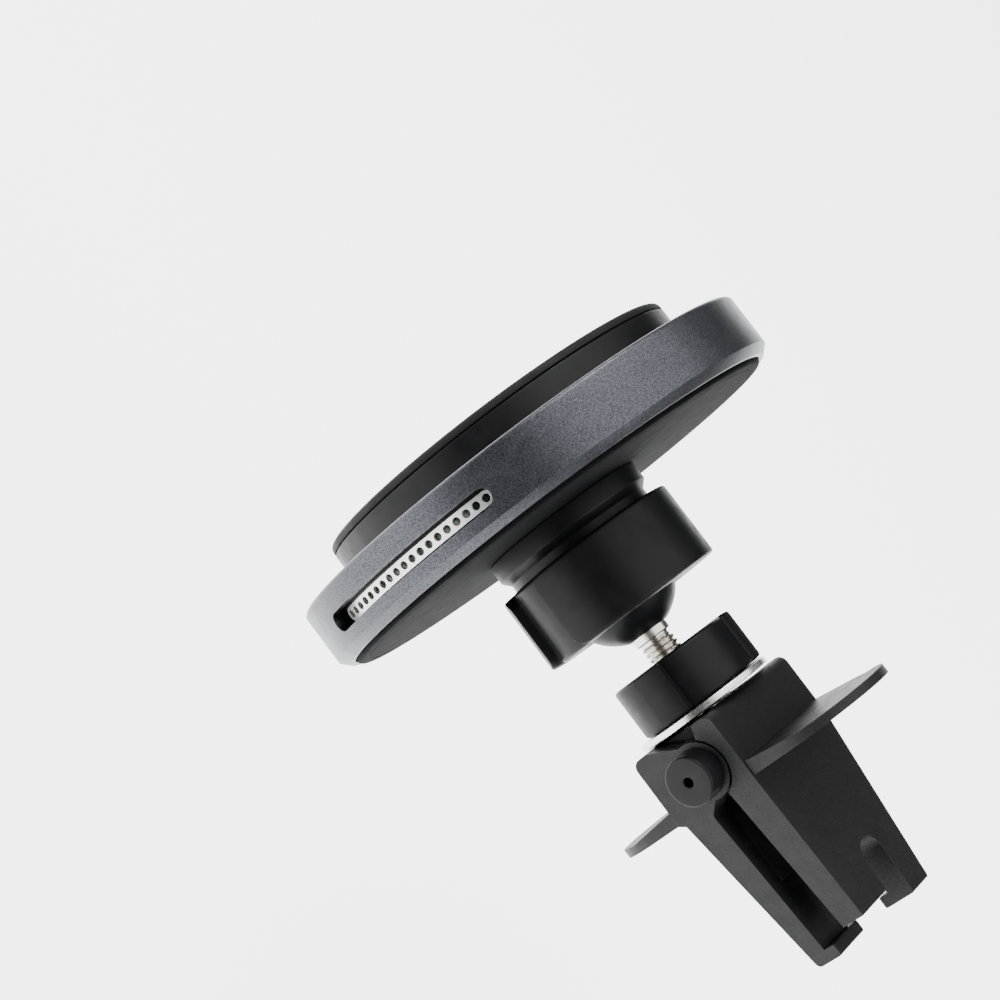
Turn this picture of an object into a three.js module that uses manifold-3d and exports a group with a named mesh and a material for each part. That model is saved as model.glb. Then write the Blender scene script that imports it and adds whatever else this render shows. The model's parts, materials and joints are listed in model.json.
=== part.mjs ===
// Magnetic wireless-charging phone mount for a car's air vent.
// A charging head turns and tilts on a ball; the ball's stud carries a vent clip with a pivoting lever
// that a nut and washer lock.
// Millimetres. +Y runs into the vent, -Y faces the driver, +Z is up, and the lever's pivot lies along X.
// Sizes are worked out around the ball's centre, and the whole group is moved at the end so that the
// middle of the fixed jaw's grip pad is the origin.
import * as THREE from "three";
import { mergeVertices } from "three/addons/utils/BufferGeometryUtils.js";
import Module from "manifold-3d";

const wasm = await Module();
wasm.setup();

// ---------------------------------------------------------------- driving dimensions
// Fits
const SEAT = 0.1; // between two faces that rest on each other
const SLIP = 0.15; // radial gap where one piece slips into another
const PIVOT_GAP = 0.35; // beside and around the lever's pivot boss
const MERGE = 0.2; // how far one feature of a piece runs into the next, so that they join

// Ball joint
const BALL_RADIUS = 8.5;
const BALL_CUT = 0.6; // cut off the ball's end, where the stud leaves it
const LINER_WALL = 0.6;
const CUP_WALL = 0.6;
const LINER_REACH = THREE.MathUtils.degToRad(64); // from the ball's pole at the driver's side
const CUP_REACH = THREE.MathUtils.degToRad(60);
const POLE_OPENING = THREE.MathUtils.degToRad(24);
const SOCKET_FLOOR = 2;
const SOCKET_WALL = 1.3;
const SOCKET_FLANGE_STEP = 1; // the flange beyond the neck
const SOCKET_FLANGE = 3.8;
const SOCKET_CHAMFER = 1.1;
const FINGER_SLOTS = 4;
const FINGER_SLOT_WIDTH = 0.8;
const FINGER_ROOT = 1.2; // solid neck between the flange and the fingers' slots
const COLLET_LENGTH = 3.1;
const COLLET_TAPER = 1.3;

// Collar nut
const COLLAR_WALL = 2.2;
const COLLAR_STEP = 0.9;
const COLLAR_FRONT = -7;
const COLLAR_LENGTH = 11.6;
const COLLAR_REAR_WALL = 0.9;
const COLLAR_MOUTH_GAP = 0.35; // round the ball
const COLLAR_RECESSES = 2;
const COLLAR_RECESS_ANGLE = THREE.MathUtils.degToRad(34);
const COLLAR_FIRST_LOBE = THREE.MathUtils.degToRad(-5); // from +X towards +Z
const NUT_BEVEL = 0.5;

// Charging head
const RING_RADIUS = 36.65;
const RING_WALL = 2;
const RING_DEPTH = 9.1;
const RING_LIP = 1.4;
const RING_CHAMFER = 1.2;
const RING_EDGE = 0.5;
const PAD_RADIUS = 28.3;
const PAD_STAND = 5.5;
const PAD_THICKNESS = 1.2;
const PAD_EDGE = 0.8;
const SHELL_WALL = 1.2;
const SHELL_FLANGE = 1;
const COVER_PROUD = 0.7;
const COVER_THICKNESS = 1.6;
const COVER_EDGE = 0.5;

// Side grilles
const GRILLE_HALF_ANGLE = THREE.MathUtils.degToRad(26.7);
const GRILLE_HEIGHT = 2.8;
const GRILLE_FORWARD = 4.3; // from the ring's rear edge to the slot's centre line
const STRIP_HEIGHT = 2;
const STRIP_THICKNESS = 0.5;
const STRIP_HOLES = 19;
const STRIP_HOLE_RADIUS = 0.5;
const STRIP_HOLE_PITCH = THREE.MathUtils.degToRad(2.75);
const GRILLE_FRAME_WALL = 1.1;
const GRILLE_FRAME_MARGIN = 0.9;
const GRILLE_FRAME_END = 0.06; // how far the carrier runs past the slot's end, in radians

// Magnets and charging coil
const MAGNETS = 12;
const MAGNET_WIDTH = 4;
const MAGNET_THICKNESS = 2;
const MAGNET_GAP = 0.4;
const BACKING_THICKNESS = 0.6;
const COIL_INNER = 10;
const COIL_OUTER = 21.5;
const COIL_THICKNESS = 1.3;
const FERRITE_THICKNESS = 0.8;
const LEAD_RADIUS = 0.35;
const LEAD_SPREAD = 1.6;

// Circuit board and its inlet
const BOARD_MARGIN = 2.05; // inside the ring
const BOARD_THICKNESS = 1.2;
const BOARD_LIFT = 1.4; // above the front shell's flange
const BOARD_SCREWS = 3;
const BOARD_SCREW_EDGE = 3; // from the board's edge
const BOARD_SCREW_START = Math.PI / 2; // from +X towards +Z
const USB_WIDTH = 8.94;
const USB_HEIGHT = 3.26;
const USB_DEPTH = 7.3;
const USB_SHELL = 0.3;
const USB_TONGUE_WIDTH = 6.7;
const USB_TONGUE = 0.7;
const USB_SINK = 0.5; // the shell's mouth behind the ring's outer face
const USB_TONGUE_SINK = 0.8; // the tongue's end behind the shell's mouth
const USB_BACK_WALL = 0.9;

// Screws
const SCREW_RADIUS = 0.8;
const SCREW_HEAD_RADIUS = 1.5;
const SCREW_HEAD = 0.9;
const SOCKET_SCREWS = 4;
const SOCKET_SCREW_CIRCLE = 6.2;
const SOCKET_SCREW_BITE = 3;
const SOCKET_SCREW_START = Math.PI / 4; // from +X towards +Z
const SCREW_POST_WALL = 1.1;
const SLOT_DEPTH = 0.4; // of a screw's drive
const SLOT_WIDTH = 0.35;

// Stud, clamp nut and washer
const STUD_RADIUS = 2.55;
const STUD_collarRadius = 2.8;
const STUD_COLLAR = 1.2;
const STUD_IN_BALL = 8;
const STUD_IN_CLIP = 3.7;
const CLAMP_FRONT = 12;
const CLAMP_LENGTH = 7.8;
const CLAMP_RADIUS = 10.3;
const CLAMP_STEP = 0.6;
const CLAMP_RIBS = 3;
const CLAMP_RIB_ANGLE = THREE.MathUtils.degToRad(27);
const CLAMP_FIRST_RIB = THREE.MathUtils.degToRad(-2); // from +X towards +Z
const WASHER_RADIUS = 10.5;
const WASHER_THICKNESS = 1;
const WASHER_PLAY = 0.3;
const WASHER_TRAVEL = 0.5; // left between the washer and the clip for tightening

// Vent clip
const CLIP_WIDTH = 23.4;
const JAW_END_WIDTH = 18;
const CLIP_TOP = 7.5; // above the stud's centre line
const JAW_END_TOP = 6.3;
const GRIP_HEIGHT = 2.75;
const JAW_END = 57.6;
const JAW_SHORTER = 3; // how far the hooked-over finger stops short
const LIP_THICKNESS = 1.8;
const LIP_RISE = 1.7;
const NOTCH_WIDTH = 5.2;
const NOTCH_OFFSET = -1.2;
const NOTCH_DEPTH = 10.2;
const TONGUE_WIDTH = 15.6;
const TONGUE_DEPTH = 3.4; // below the stud's centre line
const TAB_REAR = 31.4;
const TAB_ROOT = 2.4;
const TAB_TIP = 1.3;
const UPPER_TAB_REACH = 24.6;
const LOWER_TAB_REACH = 23.3;
const TAB_HALF_WIDTH = 11.4;
const TAB_BITE = 2; // how far a wing reaches into its jaw
const TONGUE_LENGTH = 6.2; // beyond the pivot
const TONGUE_ROOM = 7.2;
const TONGUE_OVERLAP = 2; // how far the tongue reaches into the jaw above it

// Lever, pivot pin and spring
const PIVOT_Y = 27.1;
const PIVOT_Z = 1.1;
const BOSS_RADIUS = 4.25;
const HEEL_DEPTH = 7.3; // below the stud's centre line
const HEEL_CONTACT = 2.8; // height of the face that the washer presses
const HEEL_SWING = 1.7; // room under the tongue for the heel to swing up
const LEVER_INNER = -1.7;
const LEVER_INNER_END = -2.1;
const LEVER_OUTER = -6.3;
const LEVER_OUTER_END = -4.7;
const PIN_RADIUS = 1.6;
const PIN_HEAD_RADIUS = 3.55;
const PIN_HEAD = 3.5;
const PIN_HOLE_RADIUS = 0.65;
const PIN_HOLE_DEPTH = 1.6;
const RETAINER_THICKNESS = 0.8;
const RETAINER_RADIUS = 3;
const SPRING_WIRE = 0.35;
const SPRING_RADIUS = 2.3;
const SPRING_OFFSET = 5.2; // to one side of the stud
const SPRING_TURNS = 3;
const SPRING_PITCH = 1;
const SPRING_LEG = 3.4;
const GRIP_PAD_THICKNESS = 0.9;
const GRIP_PAD_PROUD = 0.1;
const GRIP_PAD_START = 34.5;
const GRIP_PAD_LENGTH = 11;
const GRIP_PAD_MARGIN = 2.4;

// Facets
const FINE = 64;
const ROUND = 36;
const SMALL = 6; // sides of a half circle

// ---------------------------------------------------------------- places worked out from them
const ballFlat = BALL_RADIUS - BALL_CUT;
const linerRadius = BALL_RADIUS + SEAT + LINER_WALL;
const cupRadius = linerRadius + SEAT + CUP_WALL;
const cavityRadius = cupRadius + SEAT;
const coverBack = -(cavityRadius + SOCKET_FLOOR);
const ringRear = coverBack - COVER_PROUD;
const ringFront = ringRear - RING_DEPTH;
const ringBore = RING_RADIUS - RING_WALL;
const boardRadius = ringBore - BOARD_MARGIN;
const boardScrewCircle = boardRadius - BOARD_SCREW_EDGE;
const padFront = ringFront - PAD_STAND;
const shellFront = padFront + PAD_THICKNESS + SEAT;
const shellFlangeFront = ringFront + RING_LIP + SEAT;
const shellFlangeRear = shellFlangeFront + SHELL_FLANGE;
const coverFront = coverBack - COVER_THICKNESS;
const grilleY = ringRear - GRILLE_FORWARD;
const boardFront = shellFlangeRear + BOARD_LIFT;
const boardRear = boardFront + BOARD_THICKNESS;
const boardMiddle = (boardFront + boardRear) / 2;
const neckRadius = cavityRadius + SOCKET_WALL;
const flangeRadius = neckRadius + SOCKET_FLANGE_STEP;
const colletFront = SEAT * 4;
const colletRear = colletFront + COLLET_LENGTH;
const collarRear = COLLAR_FRONT + COLLAR_LENGTH;
const collarBore = neckRadius + 2 * SLIP;
const collarRadius = collarBore + COLLAR_WALL;
const collarMouth = Math.sqrt(BALL_RADIUS ** 2 - (collarRear - COLLAR_REAR_WALL) ** 2) + COLLAR_MOUTH_GAP;
const clampRear = CLAMP_FRONT + CLAMP_LENGTH;
const washerFront = clampRear + SEAT;
const washerRear = washerFront + WASHER_THICKNESS;
const clipFront = washerRear + WASHER_TRAVEL;
const shortJawEnd = JAW_END - JAW_SHORTER;
const cheekInside = TONGUE_WIDTH / 2 + PIVOT_GAP;
const notchInner = JAW_END - NOTCH_DEPTH;
const gripPadMiddle = GRIP_PAD_START + GRIP_PAD_LENGTH / 2;
const gripPadFace = GRIP_HEIGHT - GRIP_PAD_PROUD;

// ---------------------------------------------------------------- solids
// A closed solid from a three.js geometry, with its faces turned outwards.
function solidFrom(geometry) {
  const bare = geometry.index ? geometry.toNonIndexed() : geometry.clone();
  for (const name of Object.keys(bare.attributes)) {
    if (name !== "position") bare.deleteAttribute(name);
  }
  const merged = mergeVertices(bare, 1e-4);
  const corners = merged.index.array;
  const faces = [];
  for (let i = 0; i < corners.length; i += 3) {
    const [a, b, c] = [corners[i], corners[i + 1], corners[i + 2]];
    if (a !== b && b !== c && c !== a) faces.push(a, b, c);
  }
  const build = (triangles) =>
    new wasm.Manifold(
      new wasm.Mesh({
        numProp: 3,
        vertProperties: merged.attributes.position.array,
        triVerts: new Uint32Array(triangles),
      }),
    );
  const solid = build(faces);
  return solid.volume() > 0 ? solid : build(faces.reverse());
}

// A profile of [radius, y] points turned about the Y axis. An open profile starts and ends on the axis.
function turned(profile, segments = ROUND) {
  const points = profile.map(([r, y]) => new THREE.Vector2(r, y));
  const [first, last] = [profile[0], profile[profile.length - 1]];
  if (first[0] > 0 || last[0] > 0) points.push(points[0].clone());
  return solidFrom(new THREE.LatheGeometry(points, segments));
}

// Points of a circular arc in a [radius, y] profile, about a point on the axis.
function profileArc(radius, fromAngle, toAngle, steps) {
  const points = [];
  for (let i = 0; i <= steps; i += 1) {
    const angle = fromAngle + ((toAngle - fromAngle) * i) / steps;
    points.push([radius * Math.cos(angle), radius * Math.sin(angle)]);
  }
  return points;
}

function disc(radius, front, rear, segments = ROUND) {
  return turned([[0, front], [radius, front], [radius, rear], [0, rear]], segments);
}

function washerShape(inner, outer, front, rear, segments = ROUND) {
  return turned([[inner, front], [outer, front], [outer, rear], [inner, rear]], segments);
}

// An outline with each corner rounded by the radius given as its third number.
function outline(corners) {
  const shape = new THREE.Shape();
  const count = corners.length;
  corners.forEach(([x, y, radius = 0], i) => {
    const here = new THREE.Vector2(x, y);
    if (!radius) {
      if (i) shape.lineTo(x, y);
      else shape.moveTo(x, y);
      return;
    }
    const before = new THREE.Vector2(...corners[(i + count - 1) % count].slice(0, 2));
    const after = new THREE.Vector2(...corners[(i + 1) % count].slice(0, 2));
    const enter = here.clone().add(before.sub(here).setLength(radius));
    const leave = here.clone().add(after.sub(here).setLength(radius));
    if (i) shape.lineTo(enter.x, enter.y);
    else shape.moveTo(enter.x, enter.y);
    shape.quadraticCurveTo(x, y, leave.x, leave.y);
  });
  shape.closePath();
  return shape;
}

const AXES = {
  x: [new THREE.Vector3(0, 1, 0), new THREE.Vector3(0, 0, 1), new THREE.Vector3(1, 0, 0)],
  y: [new THREE.Vector3(0, 0, 1), new THREE.Vector3(1, 0, 0), new THREE.Vector3(0, 1, 0)],
  z: [new THREE.Vector3(1, 0, 0), new THREE.Vector3(0, 1, 0), new THREE.Vector3(0, 0, 1)],
};

// A shape pushed along an axis. Its own two directions are [y, z] for x, [z, x] for y and [x, y] for z.
function prism(axis, shape, from, to, { segments = 6, bevel = 0 } = {}) {
  const geometry = new THREE.ExtrudeGeometry(shape, {
    depth: to - from - 2 * bevel,
    curveSegments: segments,
    bevelEnabled: bevel > 0,
    bevelThickness: bevel,
    bevelSize: bevel,
    bevelOffset: -bevel,
    bevelSegments: 1,
  });
  geometry.translate(0, 0, from + bevel);
  geometry.applyMatrix4(new THREE.Matrix4().makeBasis(...AXES[axis]));
  return solidFrom(geometry);
}

function block(x, y, z) {
  const geometry = new THREE.BoxGeometry(x[1] - x[0], y[1] - y[0], z[1] - z[0]);
  geometry.translate((x[0] + x[1]) / 2, (y[0] + y[1]) / 2, (z[0] + z[1]) / 2);
  return solidFrom(geometry);
}

// A rod along an axis through centre, which gives its other two coordinates in the order of AXES.
function rod(axis, radius, from, to, centre = [0, 0], segments = SMALL) {
  const shape = new THREE.Shape();
  shape.absarc(centre[0], centre[1], radius, 0, 2 * Math.PI);
  return prism(axis, shape, from, to, { segments });
}

// The part of a turned piece between two angles about the Y axis, measured from +X towards +Z.
function wedge(radius, front, rear, from, to) {
  const shape = new THREE.Shape();
  const steps = Math.max(2, Math.ceil((to - from) / (Math.PI / 12)));
  const reach = radius / Math.cos((to - from) / (2 * steps));
  shape.moveTo(0, 0);
  for (let i = 0; i <= steps; i += 1) {
    const angle = from + ((to - from) * i) / steps;
    shape.lineTo(reach * Math.sin(angle), reach * Math.cos(angle));
  }
  shape.closePath();
  return prism("y", shape, front, rear);
}

// Places of count pieces spaced evenly round the Y axis, as angles from +X towards +Z.
function around(count, start = 0) {
  return Array.from({ length: count }, (_, i) => start + (2 * Math.PI * i) / count);
}

// A rod along Y at a radius and an angle.
function rodAt(circle, angle, radius, front, rear, segments = SMALL) {
  const centre = [circle * Math.sin(angle), circle * Math.cos(angle)];
  return rod("y", radius, front, rear, centre, segments);
}

// ---------------------------------------------------------------- materials
function material(color, roughness, metalness = 0) {
  return new THREE.MeshStandardMaterial({ color, roughness, metalness });
}

const FINISH = {
  graphite: () => material(0x6b7078, 0.5, 0.75),
  satinBlack: () => material(0x232325, 0.5),
  texturedBlack: () => material(0x2e2e30, 0.7),
  softBlack: () => material(0x1c1c1d, 0.85),
  gripRubber: () => material(0x191919, 0.92),
  nylon: () => material(0xd9d6cc, 0.6),
  nickel: () => material(0xbdb8b0, 0.28, 1),
  zinc: () => material(0xd4d4d2, 0.32, 1),
  magnet: () => material(0xa9a9ab, 0.35, 1),
  steel: () => material(0x8f9194, 0.4, 1),
  silver: () => material(0xe4e2de, 0.3, 0.9),
  copper: () => material(0xb5683a, 0.4, 0.9),
  ferrite: () => material(0x38383a, 0.8),
  board: () => material(0x1f4a34, 0.6),
  chip: () => material(0x161617, 0.5),
};

// ---------------------------------------------------------------- charging head
function siliconePad() {
  return turned([
    [0, padFront],
    [PAD_RADIUS - PAD_EDGE, padFront],
    [PAD_RADIUS - PAD_EDGE * 0.3, padFront + PAD_EDGE * 0.3],
    [PAD_RADIUS, padFront + PAD_EDGE],
    [PAD_RADIUS, padFront + PAD_THICKNESS],
    [0, padFront + PAD_THICKNESS],
  ], FINE);
}

function frontShell() {
  const bore = PAD_RADIUS - SHELL_WALL;
  const shell = turned([
    [0, shellFront],
    [PAD_RADIUS, shellFront],
    [PAD_RADIUS, shellFlangeFront],
    [ringBore - SLIP, shellFlangeFront],
    [ringBore - SLIP, shellFlangeRear],
    [bore, shellFlangeRear],
    [bore, shellFront + SHELL_WALL],
    [0, shellFront + SHELL_WALL],
  ], FINE);
  // Posts carry the circuit board, and each takes a screw.
  return around(BOARD_SCREWS, BOARD_SCREW_START).reduce((body, angle) => {
    const postRadius = SCREW_RADIUS + SCREW_POST_WALL;
    const post = rodAt(boardScrewCircle, angle, postRadius, shellFlangeRear - MERGE, boardFront - SEAT);
    const start = shellFlangeFront + 2 * MERGE;
    const hole = rodAt(boardScrewCircle, angle, SCREW_RADIUS + SLIP, start, boardFront);
    return body.add(post).subtract(hole);
  }, shell);
}

function ringHousing() {
  const body = turned([
    [PAD_RADIUS + 2 * SLIP, ringFront],
    [RING_RADIUS - RING_EDGE, ringFront],
    [RING_RADIUS, ringFront + RING_EDGE],
    [RING_RADIUS, ringRear - RING_CHAMFER],
    [RING_RADIUS - RING_CHAMFER, ringRear],
    [ringBore, ringRear],
    [ringBore, ringFront + RING_LIP],
    [PAD_RADIUS + 2 * SLIP, ringFront + RING_LIP],
  ], FINE);
  const reach = RING_RADIUS * Math.sin(GRILLE_HALF_ANGLE);
  const slots = prism("x", stadium([grilleY, 0], GRILLE_HEIGHT, reach), -RING_RADIUS, RING_RADIUS);
  const inlet = usbOutline(USB_WIDTH + 2 * SLIP, USB_HEIGHT + 2 * SLIP);
  return body.subtract(slots).subtract(prism("z", inlet, -RING_RADIUS - 1, -ringBore + 1));
}

// A long hole with round ends in [y, z], its length along z.
function stadium([y, z], height, halfLength) {
  const shape = new THREE.Shape();
  const r = height / 2;
  shape.absarc(y, z + halfLength - r, r, 0, Math.PI);
  shape.absarc(y, z - halfLength + r, r, Math.PI, 2 * Math.PI);
  shape.closePath();
  return shape;
}

const frameOuter = ringBore - SLIP;
const frameInner = frameOuter - GRILLE_FRAME_WALL;
const frameHalfHeight = GRILLE_HEIGHT / 2 + GRILLE_FRAME_MARGIN;
const stripOuter = frameOuter - SEAT;

// The black carrier behind a slot, with the window that its strip fills. side is 1 at +X and -1 at -X.
function grilleFrame(side) {
  const angle = side > 0 ? 0 : Math.PI;
  const spread = GRILLE_HALF_ANGLE + GRILLE_FRAME_END;
  const [front, rear] = [grilleY - frameHalfHeight, grilleY + frameHalfHeight];
  const band = washerShape(frameInner, frameOuter, front, rear, FINE);
  const reach = frameOuter * Math.sin(GRILLE_HALF_ANGLE);
  const window = prism(
    "x",
    stadium([grilleY, 0], STRIP_HEIGHT + 2 * SLIP, reach),
    side > 0 ? 0 : -RING_RADIUS,
    side > 0 ? RING_RADIUS : 0,
  );
  return band
    .intersect(wedge(RING_RADIUS, ringFront, ringRear, angle - spread, angle + spread))
    .subtract(window);
}

function grilleStrip(side) {
  const reach = frameOuter * Math.sin(GRILLE_HALF_ANGLE) - SLIP;
  const band = washerShape(stripOuter - STRIP_THICKNESS, stripOuter, ringFront, ringRear, FINE);
  const bar = prism(
    "x",
    stadium([grilleY, 0], STRIP_HEIGHT, reach),
    side > 0 ? 0 : -RING_RADIUS,
    side > 0 ? RING_RADIUS : 0,
  );
  let strip = band.intersect(bar);
  for (let i = 0; i < STRIP_HOLES; i += 1) {
    const angle = (i - (STRIP_HOLES - 1) / 2) * STRIP_HOLE_PITCH;
    const hole = new THREE.CylinderGeometry(STRIP_HOLE_RADIUS, STRIP_HOLE_RADIUS, 4, 6);
    hole.rotateZ(Math.PI / 2);
    hole.translate(stripOuter, grilleY, 0);
    hole.rotateY(angle + (side > 0 ? 0 : Math.PI));
    strip = strip.subtract(solidFrom(hole));
  }
  return strip;
}

const magnetFront = shellFront + SHELL_WALL + SEAT;
const magnetRear = magnetFront + MAGNET_THICKNESS;
const magnetOuter = PAD_RADIUS - SHELL_WALL - SLIP;
const magnetInner = magnetOuter - MAGNET_WIDTH;

function magnet(index) {
  const half = Math.PI / MAGNETS - MAGNET_GAP / 2 / magnetOuter;
  const angle = (2 * Math.PI * index) / MAGNETS;
  return washerShape(magnetInner, magnetOuter, magnetFront, magnetRear, FINE)
    .intersect(wedge(RING_RADIUS, magnetFront - 1, magnetRear + 1, angle - half, angle + half));
}

function magnetBacking() {
  const front = magnetRear + SEAT;
  return washerShape(magnetInner, magnetOuter, front, front + BACKING_THICKNESS, FINE);
}

const coilRear = magnetFront + COIL_THICKNESS;
const ferriteRadius = COIL_OUTER + 0.3;
const leadCircle = (ferriteRadius + magnetInner) / 2;

// The flat winding, with its two ends led round the ferrite's edge to the board.
function chargingCoil() {
  const winding = washerShape(COIL_INNER, COIL_OUTER, magnetFront, coilRear);
  return [-1, 1].reduce((body, side) => {
    const z = -leadCircle;
    const x = side * LEAD_SPREAD;
    const out = block(
      [x - LEAD_RADIUS, x + LEAD_RADIUS],
      [magnetFront + SEAT, magnetFront + SEAT + 2 * LEAD_RADIUS],
      [z - LEAD_RADIUS, z + 4 * LEAD_RADIUS],
    );
    const up = block(
      [x - LEAD_RADIUS, x + LEAD_RADIUS],
      [magnetFront + SEAT, boardFront - SEAT],
      [z - LEAD_RADIUS, z + LEAD_RADIUS],
    );
    return body.add(out).add(up);
  }, winding);
}

function ferriteSheet() {
  const front = coilRear + SEAT;
  const sheet = disc(ferriteRadius, front, front + FERRITE_THICKNESS);
  const notch = block(
    [-LEAD_SPREAD - 3 * LEAD_RADIUS, LEAD_SPREAD + 3 * LEAD_RADIUS],
    [front - 1, front + FERRITE_THICKNESS + 1],
    [-ferriteRadius - 1, -leadCircle + 3 * LEAD_RADIUS],
  );
  return sheet.subtract(notch);
}

// A rounded inlet outline in [x, y] about the board's middle.
function usbOutline(width, height) {
  const shape = new THREE.Shape();
  const r = height / 2;
  shape.absarc(width / 2 - r, boardMiddle, r, -Math.PI / 2, Math.PI / 2);
  shape.absarc(-width / 2 + r, boardMiddle, r, Math.PI / 2, (3 * Math.PI) / 2);
  shape.closePath();
  return shape;
}

const usbMouth = -(RING_RADIUS - USB_SINK);
const usbBack = usbMouth + USB_DEPTH;

function usbShell() {
  const body = prism("z", usbOutline(USB_WIDTH, USB_HEIGHT), usbMouth, usbBack);
  const hollow = prism("z", usbOutline(USB_WIDTH - 2 * USB_SHELL, USB_HEIGHT - 2 * USB_SHELL), usbMouth - 1,
    usbBack - USB_BACK_WALL);
  return body.subtract(hollow);
}

function usbTongue() {
  return block(
    [-USB_TONGUE_WIDTH / 2, USB_TONGUE_WIDTH / 2],
    [boardMiddle - USB_TONGUE / 2, boardMiddle + USB_TONGUE / 2],
    [usbMouth + USB_TONGUE_SINK, usbBack - USB_BACK_WALL - SEAT],
  );
}

function circuitBoard() {
  const board = disc(boardRadius, boardFront, boardRear);
  const cutout = block(
    [-USB_WIDTH / 2 - 2 * SLIP, USB_WIDTH / 2 + 2 * SLIP],
    [boardFront - 1, boardRear + 1],
    [-RING_RADIUS, usbBack + 2 * SLIP],
  );
  return around(BOARD_SCREWS, BOARD_SCREW_START).reduce(
    (body, angle) =>
      body.subtract(rodAt(boardScrewCircle, angle, SCREW_RADIUS + SLIP, boardFront - 1, boardRear + 1)),
    board.subtract(cutout),
  );
}

// A pan-head screw along Y whose head faces the vent, its shank running towards -Y from under the head.
function screw(circle, angle, underHead, length) {
  const head = rodAt(circle, angle, SCREW_HEAD_RADIUS, underHead, underHead + SCREW_HEAD);
  const shank = rodAt(circle, angle, SCREW_RADIUS, underHead - length, underHead + 0.2);
  const drive = [0, Math.PI / 2].map((turn) => {
    const slot = new THREE.BoxGeometry(SCREW_HEAD_RADIUS * 1.1, 2 * SLOT_DEPTH, SLOT_WIDTH);
    slot.rotateY(turn);
    slot.translate(circle * Math.cos(angle), underHead + SCREW_HEAD, circle * Math.sin(angle));
    return solidFrom(slot);
  });
  return head.add(shank).subtract(drive[0].add(drive[1]));
}

// The same screw turned to face the driver, holding the socket to the rear cover from inside.
function socketScrew(angle) {
  const top = coverFront - SEAT;
  const head = rodAt(SOCKET_SCREW_CIRCLE, angle, SCREW_HEAD_RADIUS, top - SCREW_HEAD, top);
  const shank = rodAt(SOCKET_SCREW_CIRCLE, angle, SCREW_RADIUS, top - 0.2, coverBack + SOCKET_SCREW_BITE);
  const slot = new THREE.BoxGeometry(SCREW_HEAD_RADIUS * 1.1, 2 * SLOT_DEPTH, SLOT_WIDTH);
  slot.translate(
    SOCKET_SCREW_CIRCLE * Math.cos(angle),
    top - SCREW_HEAD,
    SOCKET_SCREW_CIRCLE * Math.sin(angle),
  );
  return head.add(shank).subtract(solidFrom(slot));
}

function rearCover() {
  const radius = ringBore - SLIP;
  const cover = turned([
    [0, coverFront],
    [radius, coverFront],
    [radius, coverBack - COVER_EDGE],
    [radius - COVER_EDGE, coverBack],
    [0, coverBack],
  ], FINE);
  return around(SOCKET_SCREWS, SOCKET_SCREW_START).reduce(
    (body, angle) =>
      body.subtract(rodAt(SOCKET_SCREW_CIRCLE, angle, SCREW_RADIUS + SLIP, coverFront - 1, coverBack + 1)),
    cover,
  );
}

// A block that stands on the board's rear side.
function onBoard(x, z, width, depth, height) {
  return block(
    [x - width / 2, x + width / 2],
    [boardRear + SEAT / 2, boardRear + SEAT / 2 + height],
    [z - depth / 2, z + depth / 2],
  );
}

function boardCan(x, z, radius, height) {
  return rod("y", radius, boardRear + SEAT / 2, boardRear + SEAT / 2 + height, [z, x]);
}

// ---------------------------------------------------------------- ball joint
const socketFront = coverBack + SEAT;

function ballSocket() {
  const flangeRear = coverBack + SOCKET_FLANGE;
  const body = turned([
    [0, socketFront],
    [flangeRadius, socketFront],
    [flangeRadius, flangeRear - SOCKET_CHAMFER],
    [flangeRadius - SOCKET_CHAMFER, flangeRear],
    [neckRadius, flangeRear],
    [neckRadius, 0],
    [0, 0],
  ]);
  const bowl = profileArc(cavityRadius, -Math.PI / 2, 0, 12).slice(1);
  const cavity = turned([[0, -cavityRadius], ...bowl, [cavityRadius, 1], [0, 1]]);
  let socket = body.subtract(cavity);
  const slotLength = 1 - (flangeRear + FINGER_ROOT);
  for (const angle of around(FINGER_SLOTS, 0)) {
    const slot = new THREE.BoxGeometry(neckRadius, slotLength, FINGER_SLOT_WIDTH);
    slot.translate(cavityRadius, 1 - slotLength / 2, 0);
    slot.rotateY(angle);
    socket = socket.subtract(solidFrom(slot));
  }
  for (const angle of around(SOCKET_SCREWS, SOCKET_SCREW_START)) {
    const hole = rodAt(SOCKET_SCREW_CIRCLE, angle, SCREW_RADIUS + SLIP, coverBack - 1,
      coverBack + SOCKET_SCREW_BITE + 0.3);
    socket = socket.subtract(hole);
  }
  return socket;
}

// A cap-shaped shell concentric with the ball, open at the pole, reaching an angle from that pole.
function shellCap(inner, outer, reach) {
  const from = POLE_OPENING - Math.PI / 2;
  const to = reach - Math.PI / 2;
  return turned([...profileArc(inner, from, to, 5), ...profileArc(outer, to, from, 5)]);
}

function ballLiner() {
  return shellCap(BALL_RADIUS + SEAT, linerRadius, LINER_REACH);
}

function pressureCup() {
  return shellCap(linerRadius + SEAT, cupRadius, CUP_REACH);
}

function colletRing() {
  const inner = BALL_RADIUS + SEAT;
  const start = Math.asin(colletFront / inner);
  const end = Math.asin(colletRear / inner);
  return turned([
    ...profileArc(inner, start, end, 5),
    [neckRadius - COLLET_TAPER, colletRear],
    [neckRadius, colletFront],
  ]);
}

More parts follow.
